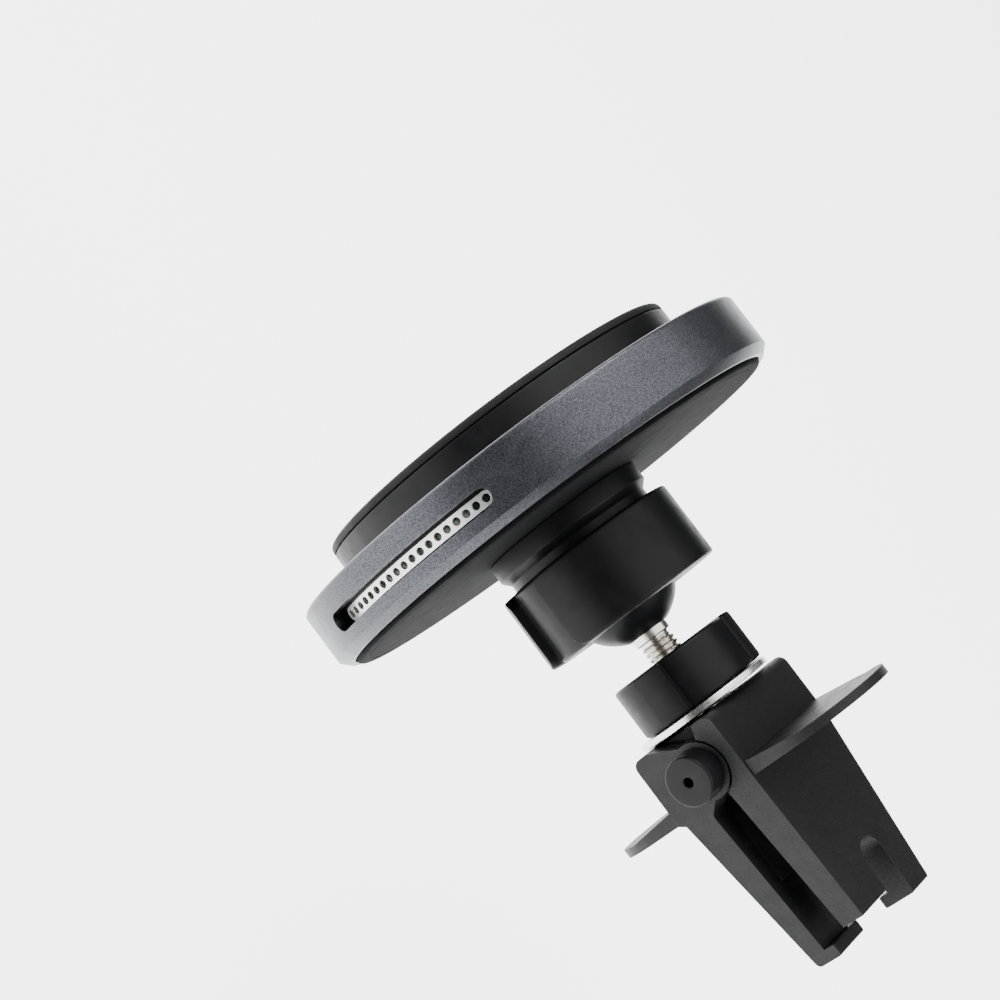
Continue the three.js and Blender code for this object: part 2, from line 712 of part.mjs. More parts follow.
// A round outline in [z, x] whose radius steps between two values, raised over each span of angles.
function lobedOutline(outer, inner, spans, steps) {
  const shape = new THREE.Shape();
  let started = false;
  const arc = (radius, from, to) => {
    const count = Math.max(1, Math.round(((to - from) / (2 * Math.PI)) * steps));
    for (let i = 0; i <= count; i += 1) {
      const angle = from + ((to - from) * i) / count;
      const [a, b] = [radius * Math.sin(angle), radius * Math.cos(angle)];
      if (started) shape.lineTo(a, b);
      else shape.moveTo(a, b);
      started = true;
    }
  };
  const slope = (outer - inner) / outer / 2;
  spans.forEach(([from, to], i) => {
    const next = i + 1 < spans.length ? spans[i + 1][0] : spans[0][0] + 2 * Math.PI;
    arc(outer, from + slope, to - slope);
    arc(inner, to + slope, next - slope);
  });
  shape.closePath();
  return shape;
}

function collarNut() {
  const period = (2 * Math.PI) / COLLAR_RECESSES;
  const first = COLLAR_FIRST_LOBE;
  const spans = around(COLLAR_RECESSES, first).map((a) => [a, a + period - COLLAR_RECESS_ANGLE]);
  const shape = lobedOutline(collarRadius, collarRadius - COLLAR_STEP, spans, ROUND);
  const body = prism("y", shape, COLLAR_FRONT, collarRear, { bevel: NUT_BEVEL });
  const bore = collarBore;
  const rearWall = collarRear - COLLAR_REAR_WALL;
  const hollow = turned([
    [0, COLLAR_FRONT - 1],
    [bore, COLLAR_FRONT - 1],
    [bore, colletFront],
    [bore - COLLET_TAPER, colletRear],
    [bore - COLLET_TAPER, rearWall],
    [collarMouth, rearWall],
    [collarMouth, collarRear + 1],
    [0, collarRear + 1],
  ]);
  return body.subtract(hollow);
}

function ball() {
  const flat = Math.asin(ballFlat / BALL_RADIUS);
  const bore = STUD_collarRadius + SLIP;
  return turned([
    ...profileArc(BALL_RADIUS, -Math.PI / 2, flat, 16).map(([r, y], i) => [i ? r : 0, y]),
    [bore, ballFlat],
    [bore, ballFlat - STUD_IN_BALL - SEAT],
    [0, ballFlat - STUD_IN_BALL - SEAT],
  ]);
}

// ---------------------------------------------------------------- stud, clamp nut and washer
function stud() {
  const collarEnd = ballFlat + STUD_COLLAR;
  return turned([
    [0, ballFlat - STUD_IN_BALL],
    [STUD_collarRadius, ballFlat - STUD_IN_BALL],
    [STUD_collarRadius, collarEnd],
    [STUD_RADIUS - 0.2, collarEnd],
    [STUD_RADIUS - 0.2, collarEnd + 1],
    [STUD_RADIUS, collarEnd + 1.2],
    [STUD_RADIUS, clipFront + STUD_IN_CLIP],
    [0, clipFront + STUD_IN_CLIP],
  ], 32);
}

function clampNut() {
  const spans = around(CLAMP_RIBS, CLAMP_FIRST_RIB).map((a) => [a, a + CLAMP_RIB_ANGLE]);
  const shape = lobedOutline(CLAMP_RADIUS, CLAMP_RADIUS - CLAMP_STEP, spans, ROUND);
  const body = prism("y", shape, CLAMP_FRONT, clampRear, { bevel: NUT_BEVEL });
  return body.subtract(disc(STUD_RADIUS + SLIP, CLAMP_FRONT - 1, clampRear + 1, 32));
}

function washer() {
  return washerShape(STUD_RADIUS + WASHER_PLAY, WASHER_RADIUS, washerFront, washerRear);
}

// ---------------------------------------------------------------- vent clip
// Half the clip's width at a distance y along it: it narrows from the tabs to the jaw's end.
function halfWidth(y) {
  const share = THREE.MathUtils.clamp((y - TAB_REAR) / (JAW_END - TAB_REAR), 0, 1);
  return THREE.MathUtils.lerp(CLIP_WIDTH, JAW_END_WIDTH, share) / 2;
}

// The clip's plan outline in [x, y], which both jaws are cut to.
function planSolid(from, to) {
  const shape = outline([
    [-CLIP_WIDTH / 2, from],
    [CLIP_WIDTH / 2, from],
    [CLIP_WIDTH / 2, TAB_REAR],
    [halfWidth(to), to],
    [-halfWidth(to), to],
    [-CLIP_WIDTH / 2, TAB_REAR],
  ]);
  return prism("z", shape, -HEEL_DEPTH - 1, CLIP_TOP + 1);
}

// The slot that splits both jaws into two fingers, with a round inner end, wider by grow all round.
function notch(grow = 0) {
  const r = NOTCH_WIDTH / 2 + grow;
  const shape = new THREE.Shape();
  shape.absarc(NOTCH_OFFSET, notchInner + NOTCH_WIDTH / 2, r, Math.PI, 2 * Math.PI);
  shape.lineTo(NOTCH_OFFSET + r, JAW_END + 1);
  shape.lineTo(NOTCH_OFFSET - r, JAW_END + 1);
  shape.closePath();
  return prism("z", shape, -HEEL_DEPTH - 2, CLIP_TOP + 2, { segments: 8 });
}

// A wing with a round end: a wedge from the clip's side, thinner at its tip. up is 1 for +Z, -1 for -Z.
function tab(up, from, reach) {
  const centre = reach - TAB_HALF_WIDTH;
  const plan = new THREE.Shape();
  plan.moveTo(up * from, -TAB_HALF_WIDTH);
  if (up > 0) plan.absarc(centre, 0, TAB_HALF_WIDTH, -Math.PI / 2, Math.PI / 2);
  else plan.absarc(-centre, 0, TAB_HALF_WIDTH, -Math.PI / 2, -(3 * Math.PI) / 2, true);
  plan.lineTo(up * from, TAB_HALF_WIDTH);
  plan.closePath();
  const side = outline([
    [TAB_REAR - TAB_ROOT, up * from],
    [TAB_REAR - TAB_TIP, up * (from + 0.6 * (reach - from))],
    [TAB_REAR - TAB_TIP, up * reach],
    [TAB_REAR, up * reach],
    [TAB_REAR, up * from],
  ]);
  const slab = prism("y", plan, TAB_REAR - TAB_ROOT, TAB_REAR, { segments: 24 });
  return slab.intersect(prism("x", side, -CLIP_WIDTH, CLIP_WIDTH));
}

const leftX = [-CLIP_WIDTH, NOTCH_OFFSET];
const rightX = [NOTCH_OFFSET, CLIP_WIDTH];

function clipBody() {
  const jaw = outline([
    [clipFront, GRIP_HEIGHT + 1.6],
    [clipFront, CLIP_TOP, 1.4],
    [TAB_REAR, CLIP_TOP],
    [JAW_END, JAW_END_TOP],
    [JAW_END, GRIP_HEIGHT - LIP_RISE],
    [JAW_END - LIP_THICKNESS, GRIP_HEIGHT - LIP_RISE],
    [JAW_END - LIP_THICKNESS, GRIP_HEIGHT],
    [clipFront + 4, GRIP_HEIGHT],
  ]);
  const tongue = outline([
    [clipFront, -TONGUE_DEPTH, 0.6],
    [clipFront, GRIP_HEIGHT + TONGUE_OVERLAP],
    [PIVOT_Y + TONGUE_LENGTH, GRIP_HEIGHT + TONGUE_OVERLAP],
    [PIVOT_Y + TONGUE_LENGTH, GRIP_HEIGHT],
    [PIVOT_Y + 4, -TONGUE_DEPTH, 2],
  ]);
  const bossRoom = rod("x", BOSS_RADIUS + PIVOT_GAP, -CLIP_WIDTH, CLIP_WIDTH, [PIVOT_Y, PIVOT_Z], 12);
  const shortFinger = block(rightX, [shortJawEnd, JAW_END + 1], [-HEEL_DEPTH, CLIP_TOP + 1]);
  const bedTop = GRIP_HEIGHT + GRIP_PAD_THICKNESS - GRIP_PAD_PROUD + SEAT;
  const padBed = gripPadBlock(1, GRIP_HEIGHT, bedTop, SEAT);
  const centre = prism("x", tongue, -TONGUE_WIDTH / 2, TONGUE_WIDTH / 2);
  return prism("x", jaw, -CLIP_WIDTH / 2, CLIP_WIDTH / 2)
    .subtract(bossRoom)
    .add(centre)
    .intersect(planSolid(clipFront - 1, JAW_END))
    .subtract(notch())
    .subtract(shortFinger)
    .subtract(padBed)
    .add(tab(1, CLIP_TOP - TAB_BITE, UPPER_TAB_REACH))
    .subtract(rod("x", PIN_RADIUS + SLIP, -CLIP_WIDTH, CLIP_WIDTH, [PIVOT_Y, PIVOT_Z]))
    .subtract(springRoom())
    .subtract(disc(STUD_RADIUS + SLIP, clipFront - 1, clipFront + STUD_IN_CLIP + SEAT, 32));
}

const springWidth = SPRING_TURNS * SPRING_PITCH + 2 * SPRING_WIRE;
const springRoomRadius = SPRING_RADIUS + SPRING_WIRE + 0.3;

// The pocket in the tongue round the spring's coil, open downwards for its leg.
function springRoom() {
  const x = [SPRING_OFFSET - springWidth / 2 - 0.3, SPRING_OFFSET + springWidth / 2 + 0.3];
  const round = rod("x", springRoomRadius, x[0], x[1], [PIVOT_Y, PIVOT_Z]);
  const y = [PIVOT_Y - 1, PIVOT_Y + springRoomRadius + SPRING_LEG];
  return round.add(block(x, y, [-HEEL_DEPTH, PIVOT_Z]));
}

function lever() {
  const front = washerRear + SEAT;
  const side = outline([
    [front, -HEEL_DEPTH + HEEL_CONTACT, 0.6],
    [PIVOT_Y - BOSS_RADIUS + 0.3, PIVOT_Z],
    [PIVOT_Y + BOSS_RADIUS, PIVOT_Z - 1],
    [TAB_REAR + 1.4, LEVER_INNER, 1],
    [JAW_END - LIP_THICKNESS, LEVER_INNER_END],
    [JAW_END - LIP_THICKNESS, LEVER_INNER_END + LIP_RISE],
    [JAW_END, LEVER_INNER_END + LIP_RISE],
    [JAW_END, LEVER_OUTER_END, 0.8],
    [TAB_REAR + 0.6, LEVER_OUTER],
    [TAB_REAR, -HEEL_DEPTH],
    [front, -HEEL_DEPTH, 1.6],
  ]);
  const boss = rod("x", BOSS_RADIUS, -CLIP_WIDTH / 2, CLIP_WIDTH / 2, [PIVOT_Y, PIVOT_Z], 12);
  const tongueRoom = outline([
    [washerRear - 1, -TONGUE_DEPTH - HEEL_SWING],
    [PIVOT_Y, -TONGUE_DEPTH - PIVOT_GAP],
    [PIVOT_Y + 3.4, -TONGUE_DEPTH - PIVOT_GAP],
    [PIVOT_Y + TONGUE_ROOM, LEVER_INNER],
    [PIVOT_Y + TONGUE_ROOM, CLIP_TOP],
    [washerRear - 1, CLIP_TOP],
  ]);
  const shortFinger = block(leftX, [shortJawEnd, JAW_END + 1], [-HEEL_DEPTH - 1, CLIP_TOP]);
  const padBed = gripPadBlock(-1, leverFace - GRIP_PAD_THICKNESS - SEAT, leverFace + 1, SEAT);
  return prism("x", side, -CLIP_WIDTH / 2, CLIP_WIDTH / 2)
    .add(boss)
    .intersect(planSolid(washerRear, JAW_END))
    .subtract(notch())
    .subtract(shortFinger)
    .subtract(prism("x", tongueRoom, -cheekInside, cheekInside))
    .subtract(padBed)
    .add(tab(-1, HEEL_DEPTH - TAB_BITE, LOWER_TAB_REACH))
    .subtract(rod("x", PIN_RADIUS + SLIP, -CLIP_WIDTH, CLIP_WIDTH, [PIVOT_Y, PIVOT_Z]));
}

const leverFace = THREE.MathUtils.lerp(LEVER_INNER, LEVER_INNER_END, 0.55);

// A grip pad between the jaws, grown by grow on every side of its plan.
function gripPadBlock(side, from, to, grow = 0) {
  const half = halfWidth(GRIP_PAD_START + GRIP_PAD_LENGTH) - GRIP_PAD_MARGIN + grow;
  const shape = outline([
    [-half, GRIP_PAD_START - grow, 1],
    [half, GRIP_PAD_START - grow, 1],
    [half, GRIP_PAD_START + GRIP_PAD_LENGTH + grow, 1],
    [-half, GRIP_PAD_START + GRIP_PAD_LENGTH + grow, 1],
  ]);
  return prism("z", shape, from - (side > 0 ? grow : 0), to + (side < 0 ? grow : 0));
}

function fixedGripPad() {
  return gripPadBlock(1, gripPadFace, gripPadFace + GRIP_PAD_THICKNESS);
}

function leverGripPad() {
  return gripPadBlock(-1, leverFace - GRIP_PAD_THICKNESS, leverFace + GRIP_PAD_PROUD);
}

function pivotPin() {
  const half = CLIP_WIDTH / 2;
  const shank = rod("x", PIN_RADIUS, -half - RETAINER_THICKNESS - 2 * SEAT, half + 1, [PIVOT_Y, PIVOT_Z]);
  const head = prism("x", circle(PIN_HEAD_RADIUS, [PIVOT_Y, PIVOT_Z]), half + SEAT, half + SEAT + PIN_HEAD, {
    segments: 12,
    bevel: 0.3,
  });
  const headEnd = half + SEAT + PIN_HEAD;
  const hole = rod("x", PIN_HOLE_RADIUS, headEnd - PIN_HOLE_DEPTH, headEnd + 1, [PIVOT_Y, PIVOT_Z]);
  return head.add(shank).subtract(hole);
}

function circle(radius, centre) {
  const shape = new THREE.Shape();
  shape.absarc(centre[0], centre[1], radius, 0, 2 * Math.PI);
  return shape;
}

function pinRetainer() {
  const outside = -CLIP_WIDTH / 2 - SEAT;
  return rod("x", RETAINER_RADIUS, outside - RETAINER_THICKNESS, outside, [PIVOT_Y, PIVOT_Z])
    .subtract(rod("x", PIN_RADIUS + SLIP, outside - 3, outside + 1, [PIVOT_Y, PIVOT_Z]));
}

// The lever's return spring: a coil round the pin with a leg to each jaw.
class SpringPath extends THREE.Curve {
  getPoint(t, target = new THREE.Vector3()) {
    const turn = 2 * Math.PI * SPRING_TURNS * t - Math.PI / 2;
    return target.set(
      SPRING_OFFSET + (t - 0.5) * SPRING_TURNS * SPRING_PITCH,
      PIVOT_Y + SPRING_RADIUS * Math.cos(turn),
      PIVOT_Z + SPRING_RADIUS * Math.sin(turn),
    );
  }
}

function torsionSpring() {
  const wire = circle(SPRING_WIRE, [0, 0]);
  const coil = new THREE.ExtrudeGeometry(wire, {
    steps: SPRING_TURNS * 14,
    curveSegments: 3,
    extrudePath: new SpringPath(),
  });
  const ends = [new SpringPath().getPoint(0), new SpringPath().getPoint(1)];
  const legs = ends.map((end) =>
    block(
      [end.x - SPRING_WIRE * 0.8, end.x + SPRING_WIRE * 0.8],
      [end.y - SPRING_WIRE, end.y + SPRING_LEG],
      [end.z - SPRING_WIRE * 0.8, end.z + SPRING_WIRE * 0.8],
    ),
  );
  return solidFrom(coil).add(legs[0]).add(legs[1]);
}

// ---------------------------------------------------------------- assembly
function named(name, solid, finish) {
  const { vertProperties, triVerts } = solid.getMesh();
  const geometry = new THREE.BufferGeometry();
  geometry.setAttribute("position", new THREE.BufferAttribute(new Float32Array(vertProperties), 3));
  geometry.setIndex(new THREE.BufferAttribute(new Uint32Array(triVerts), 1));
  const mesh = new THREE.Mesh(geometry.toNonIndexed(), finish());
  mesh.geometry.computeVertexNormals();
  mesh.name = name;
  return mesh;
}

const head = new THREE.Group();
head.add(
  named("silicone_pad", siliconePad(), FINISH.softBlack),
  named("front_shell", frontShell(), FINISH.satinBlack),
  named("ring_housing", ringHousing(), FINISH.graphite),
  named("grille_frame_right", grilleFrame(1), FINISH.satinBlack),
  named("grille_frame_left", grilleFrame(-1), FINISH.satinBlack),
  named("grille_strip_right", grilleStrip(1), FINISH.silver),
  named("grille_strip_left", grilleStrip(-1), FINISH.silver),
  named("magnet_backing", magnetBacking(), FINISH.steel),
  named("charging_coil", chargingCoil(), FINISH.copper),
  named("ferrite_sheet", ferriteSheet(), FINISH.ferrite),
  named("circuit_board", circuitBoard(), FINISH.board),
  named("control_chip", onBoard(10, 14, 6, 6, 1), FINISH.chip),
  named("power_chip", onBoard(-11, 13, 5, 5, 0.9), FINISH.chip),
  named("board_inductor", onBoard(-13, -12, 7, 7, 2), FINISH.ferrite),
  named("board_capacitor_1", boardCan(12, -12, 2, 1.9), FINISH.steel),
  named("board_capacitor_2", boardCan(17.5, -10, 2, 1.9), FINISH.steel),
  named("usb_c_shell", usbShell(), FINISH.nickel),
  named("usb_c_tongue", usbTongue(), FINISH.chip),
  named("rear_cover", rearCover(), FINISH.satinBlack),
  named("ball_socket", ballSocket(), FINISH.satinBlack),
);
for (let i = 0; i < MAGNETS; i += 1) {
  head.add(named(`magnet_${i + 1}`, magnet(i), FINISH.magnet));
}
around(BOARD_SCREWS, BOARD_SCREW_START).forEach((angle, i) => {
  const solid = screw(boardScrewCircle, angle, boardRear + SEAT / 2, BOARD_THICKNESS + BOARD_LIFT);
  head.add(named(`board_screw_${i + 1}`, solid, FINISH.steel));
});
around(SOCKET_SCREWS, SOCKET_SCREW_START).forEach((angle, i) => {
  head.add(named(`socket_screw_${i + 1}`, socketScrew(angle), FINISH.steel));
});

const ballJoint = new THREE.Group();
ballJoint.add(
  named("ball_liner", ballLiner(), FINISH.nylon),
  named("pressure_cup", pressureCup(), FINISH.steel),
  named("collet_ring", colletRing(), FINISH.satinBlack),
  named("collar_nut", collarNut(), FINISH.satinBlack),
  named("ball", ball(), FINISH.satinBlack),
);

const clip = new THREE.Group();
clip.add(
  named("threaded_stud", stud(), FINISH.nickel),
  named("clamp_nut", clampNut(), FINISH.satinBlack),
  named("washer", washer(), FINISH.zinc),
  named("clip_body", clipBody(), FINISH.texturedBlack),
  named("lever", lever(), FINISH.texturedBlack),
  named("pivot_pin", pivotPin(), FINISH.satinBlack),
  named("pin_retainer", pinRetainer(), FINISH.steel),
  named("torsion_spring", torsionSpring(), FINISH.steel),
  named("fixed_grip_pad", fixedGripPad(), FINISH.gripRubber),
  named("lever_grip_pad", leverGripPad(), FINISH.gripRubber),
);

const mount = new THREE.Group();
mount.add(head, ballJoint, clip);
mount.position.set(0, -gripPadMiddle, -gripPadFace);

export default mount;
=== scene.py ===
"""Looks of the car phone mount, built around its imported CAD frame. Lengths are in millimetres round the
ball's centre until place() turns them into metres in the row frame."""

import json
import math

import bmesh
import bpy
from mathutils import Matrix, Vector


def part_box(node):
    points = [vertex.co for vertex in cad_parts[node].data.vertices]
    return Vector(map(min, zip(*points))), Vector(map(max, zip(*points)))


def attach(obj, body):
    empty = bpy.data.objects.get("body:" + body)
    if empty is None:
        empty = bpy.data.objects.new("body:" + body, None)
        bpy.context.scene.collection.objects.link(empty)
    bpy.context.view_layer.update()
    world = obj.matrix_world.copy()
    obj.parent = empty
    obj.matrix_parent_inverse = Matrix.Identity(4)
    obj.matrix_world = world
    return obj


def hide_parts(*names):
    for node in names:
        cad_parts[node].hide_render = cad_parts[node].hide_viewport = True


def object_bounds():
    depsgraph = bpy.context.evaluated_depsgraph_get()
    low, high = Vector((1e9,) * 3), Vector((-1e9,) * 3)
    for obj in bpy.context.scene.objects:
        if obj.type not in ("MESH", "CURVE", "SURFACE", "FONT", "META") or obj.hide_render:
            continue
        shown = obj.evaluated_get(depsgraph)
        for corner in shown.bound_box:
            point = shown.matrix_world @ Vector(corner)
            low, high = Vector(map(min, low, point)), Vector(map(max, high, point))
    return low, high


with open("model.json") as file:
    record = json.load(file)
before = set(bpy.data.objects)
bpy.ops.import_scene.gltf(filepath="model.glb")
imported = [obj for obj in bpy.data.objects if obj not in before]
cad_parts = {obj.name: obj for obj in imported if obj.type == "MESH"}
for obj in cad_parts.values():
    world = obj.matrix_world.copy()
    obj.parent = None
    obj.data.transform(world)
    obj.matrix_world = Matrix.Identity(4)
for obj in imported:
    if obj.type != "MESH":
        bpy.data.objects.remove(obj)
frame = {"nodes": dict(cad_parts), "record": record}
cad_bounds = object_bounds()

MM = 0.001
DEG = math.pi / 180
FINE = 160  # segments round a turned piece
VERY_FINE = 240  # and round the widest ones
CREASE = 38 * DEG  # sharper edges stay sharp
STRAIGHT = 89 * DEG  # half of an outline's corner that needs no rounding
TINY = 1e-4  # points nearer than this are one
WELD = 2e-3  # the same, for the points that a cut leaves behind
FLAT = 0.5 * DEG  # faces that lean less than this are joined
TURNED_STEPS, PRISM_STEPS, EDGE_STEPS = 5, 6, 3  # points in a rounded corner
CORNER_SHARE = 0.48  # how much of a side one rounded corner may take
BALL_RADIUS = 8.5

ball_low, ball_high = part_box("ball")
CENTRE = Vector(((ball_low.x + ball_high.x) / 2, ball_low.y + BALL_RADIUS * MM,
                 (ball_low.z + ball_high.z) / 2))


def span(node):
    """A CAD node's box in millimetres round the ball's centre."""
    low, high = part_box(node)
    return (low - CENTRE) / MM, (high - CENTRE) / MM


# ------------------------------------------------------------------ materials
class Nodes:
    """A short way to add and join shader nodes."""

    def __init__(self, name):
        self.material = bpy.data.materials.new(name)
        self.material.use_nodes = True
        self.tree = self.material.node_tree
        self.shader = self.tree.nodes["Principled BSDF"]
        coordinates = self.tree.nodes.new("ShaderNodeTexCoord")
        self.place = coordinates.outputs["Object"]

    def add(self, kind, inputs=(), **settings):
        node = self.tree.nodes.new(kind)
        for key, value in settings.items():
            setattr(node, key, value)
        for key, value in dict(inputs).items():
            if isinstance(value, bpy.types.NodeSocket):
                self.tree.links.new(value, node.inputs[key])
            else:
                node.inputs[key].default_value = value
        return node

    def noise(self, size_mm, detail=3.0, roughness=0.55, stretch=None):
        place = self.place
        if stretch:
            place = self.add("ShaderNodeMapping", {"Vector": place, "Scale": stretch}).outputs[0]
        inputs = {"Vector": place, "Scale": 1 / (size_mm * MM), "Detail": detail, "Roughness": roughness}
        return self.add("ShaderNodeTexNoise", inputs).outputs["Fac"]

    def span(self, value, low, high):
        inputs = {"Value": value, "From Min": 0.3, "From Max": 0.7, "To Min": low, "To Max": high}
        return self.add("ShaderNodeMapRange", inputs).outputs["Result"]

    def mix(self, factor, a, b):
        node = self.add("ShaderNodeMix", {0: factor}, data_type="RGBA")
        for index, value in ((6, a), (7, b)):
            if isinstance(value, bpy.types.NodeSocket):
                self.tree.links.new(value, node.inputs[index])
            else:
                node.inputs[index].default_value = (*value, 1)
        return node.outputs[2]

    def link(self, value, name):
        self.tree.links.new(value, self.shader.inputs[name])

    def bump(self, height, depth_mm, strength=1.0, under=None):
        inputs = {"Height": height, "Distance": depth_mm * MM, "Strength": strength}
        if under:
            inputs["Normal"] = under
        return self.add("ShaderNodeBump", inputs).outputs["Normal"]


def shade(colour, factor):
    return tuple(min(1.0, c * factor) for c in colour)


BLOTCH, GLOSS_PATCH = 6, 2.5  # mm, the size of changes in tone and in gloss
SPECK_SHARE = 0.85
HIGHLIGHT_RADIUS = 0.25  # mm, how far from an edge the painted edge highlight reaches


def surface(name, colour, rough, grain_mm, grain_depth, metal=0.0, vary=0.25, edge_highlight=0.0,
            stretch=None, coat=0.0, sheen=0.0, rough_vary=0.08, gloss=0.5):
    """Moulded, cast or finished surface: a fine grain, blotches of tone and gloss, and a painted highlight
    that lightens every edge.
    """
    n = Nodes(name)
    grain = n.noise(grain_mm, 4, 0.6, stretch)
    blotch = n.noise(BLOTCH, 3)
    tone = n.mix(n.span(blotch, 0, 1), shade(colour, 1 - vary / 2), shade(colour, 1 + vary / 2))
    speck = n.mix(n.span(grain, 0, 1), shade(colour, 1 - vary), shade(colour, 1 + vary))
    tone = n.mix(SPECK_SHARE, tone, speck)
    # painted highlight: every edge, whichever way it faces, is lightened towards a paler copy of the colour
    if edge_highlight:
        soft = n.add("ShaderNodeBevel", {"Radius": HIGHLIGHT_RADIUS * MM}, samples=4).outputs[0]
        flat = n.add("ShaderNodeNewGeometry").outputs["True Normal"]
        edge = n.add("ShaderNodeVectorMath", {0: soft, 1: flat}, operation="DOT_PRODUCT").outputs["Value"]
        ramp = {"Value": edge, "From Min": 0.99, "From Max": 0.8, "To Min": 0.0, "To Max": edge_highlight}
        highlit_edge = n.add("ShaderNodeMapRange", ramp).outputs["Result"]
        tone = n.mix(highlit_edge, tone, tuple(min(1.0, c * 2 + 0.03) for c in colour))
    n.link(tone, "Base Color")
    n.link(n.span(n.noise(GLOSS_PATCH, 4), rough - rough_vary, rough + rough_vary), "Roughness")
    n.link(n.bump(grain, grain_depth, 0.8, n.bump(blotch, grain_depth * 0.3, 0.1)), "Normal")
    n.shader.inputs["Metallic"].default_value = metal
    n.shader.inputs["Specular IOR Level"].default_value = gloss
    n.shader.inputs["Coat Weight"].default_value = coat
    n.shader.inputs["Sheen Weight"].default_value = sheen
    return n.material


# the edge strength that some looks below are given is a painted edge highlight
LOOKS = {
    "pad_silicone": surface("soft silicone", (0.006, 0.006, 0.0065), 0.7, 0.12, 0.006,
                            gloss=0.2),
    "satin_plastic": surface("satin moulded plastic", (0.004, 0.004, 0.0045), 0.42, 0.1, 0.003,
                             edge_highlight=0.2, gloss=0.14),
    "cover_plastic": surface("fine-grained moulded plastic", (0.003, 0.003, 0.0035), 0.85, 0.1, 0.004,
                             gloss=0.05, rough_vary=0.05),
    "textured_plastic": surface("spark-eroded plastic", (0.0075, 0.0075, 0.008), 0.48, 0.3, 0.1,
                                edge_highlight=0.2, vary=0.35, gloss=0.2),
    "ring_metal": surface("bead-blasted graphite", (0.052, 0.056, 0.064), 0.36, 0.2, 0.024, metal=0.8,
                          vary=0.85, edge_highlight=0.35, rough_vary=0.04),
    "strip_metal": surface("silver strip", (0.86, 0.85, 0.84), 0.28, 0.3, 0.003, metal=0.55, vary=0.08),
    "plated_steel": surface("plated steel", (0.42, 0.42, 0.43), 0.34, 0.2, 0.003, metal=1, vary=0.2),
    "coil_copper": surface("enamelled copper", (0.55, 0.25, 0.12), 0.35, 0.35, 0.02, metal=0.9),
    "ferrite": surface("ferrite", (0.05, 0.05, 0.055), 0.7, 0.15, 0.01),
    "circuit_board": surface("solder resist", (0.012, 0.06, 0.035), 0.35, 0.4, 0.004, coat=0.4),
    "chip_plastic": surface("moulded epoxy", (0.012, 0.012, 0.013), 0.5, 0.08, 0.004),
    "magnet_nickel": surface("nickel on magnets", (0.6, 0.6, 0.6), 0.22, 0.3, 0.002, metal=1, vary=0.1),
    "nylon": surface("natural nylon", (0.66, 0.64, 0.57), 0.5, 0.2, 0.004, vary=0.08),
    "stud_nickel": surface("turned nickel", (0.66, 0.62, 0.57), 0.26, 0.5, 0.006, metal=1, vary=0.3,
                           stretch=(1, 8, 1)),
    "washer_zinc": surface("bright zinc", (0.74, 0.74, 0.73), 0.28, 0.3, 0.006, metal=1, vary=0.25),
    "grip_rubber": surface("grip rubber", (0.012, 0.012, 0.012), 0.78, 0.14, 0.008, sheen=0.2),
}


# ------------------------------------------------------------------ meshes
def place(mesh):
    """Millimetres round the ball's centre to metres in the row frame."""
    mesh.transform(Matrix.Translation(CENTRE) @ Matrix.Scale(MM, 4))
    return mesh


def obj_from(name, vertices, faces):
    mesh = bpy.data.meshes.new(name)
    mesh.from_pydata([tuple(v) for v in vertices], [], faces)
    mesh.validate()
    made = bpy.data.objects.new(name, mesh)
    bpy.context.scene.collection.objects.link(made)
    return made


def outward(obj):
    b = bmesh.new()
    b.from_mesh(obj.data)
    bmesh.ops.remove_doubles(b, verts=b.verts, dist=TINY)
    bmesh.ops.recalc_face_normals(b, faces=b.faces)
    b.to_mesh(obj.data)
    b.free()
    return obj


def rounded(points, steps):
    """A closed outline of (a, b, radius) corners as points, each corner an arc of its radius."""
    made = []
    for i, (x, y, *r) in enumerate(points):
        here = Vector((x, y))
        radius = r[0] if r else 0
        before = Vector(points[i - 1][:2]) - here
        after = Vector(points[(i + 1) % len(points)][:2]) - here
        if not radius or before.length < TINY or after.length < TINY:
            made.append((x, y))
            continue
        half = before.angle(after) / 2
        if half > STRAIGHT:
            made.append((x, y))
            continue
        reach = min(radius / math.tan(half), before.length * CORNER_SHARE, after.length * CORNER_SHARE)
        radius = reach * math.tan(half)
        middle = here + (before.normalized() + after.normalized()).normalized() * (radius / math.sin(half))
        start = here + before.normalized() * reach - middle
        end = here + after.normalized() * reach - middle
        turn = start.angle_signed(end)
        for k in range(steps + 1):
            a = -turn * k / steps
            p = Vector((start.x * math.cos(a) - start.y * math.sin(a),
                        start.x * math.sin(a) + start.y * math.cos(a)))
            made.append(tuple(middle + p))
    return made


def turned(name, profile, segments=FINE, axis="y", centre=(0, 0)):
    """A closed profile of (radius, along, corner radius) turned about an axis. Radii of 0 close on it."""
    points = rounded(profile, TURNED_STEPS)
    vertices, rows = [], []
    for r, along in points:
        row = []
        for k in range(1 if r < 1e-6 else segments):
            a = 2 * math.pi * k / segments
            p, q = r * math.cos(a), r * math.sin(a)
            row.append(len(vertices))
            if axis == "y":
                vertices.append((centre[0] + p, along, centre[1] + q))
            else:
                vertices.append((along, centre[0] + p, centre[1] + q))
        rows.append(row)
    faces = []
    for a, b in zip(rows, rows[1:] + rows[:1]):
        for k in range(segments):
            quad = [a[k % len(a)], a[(k + 1) % len(a)], b[(k + 1) % len(b)], b[k % len(b)]]
            quad = list(dict.fromkeys(quad))
            if len(quad) > 2:
                faces.append(quad)
    return outward(obj_from(name, vertices, faces))


DIRECTIONS = {"x": (1, 2, 0), "y": (2, 0, 1), "z": (0, 1, 2)}


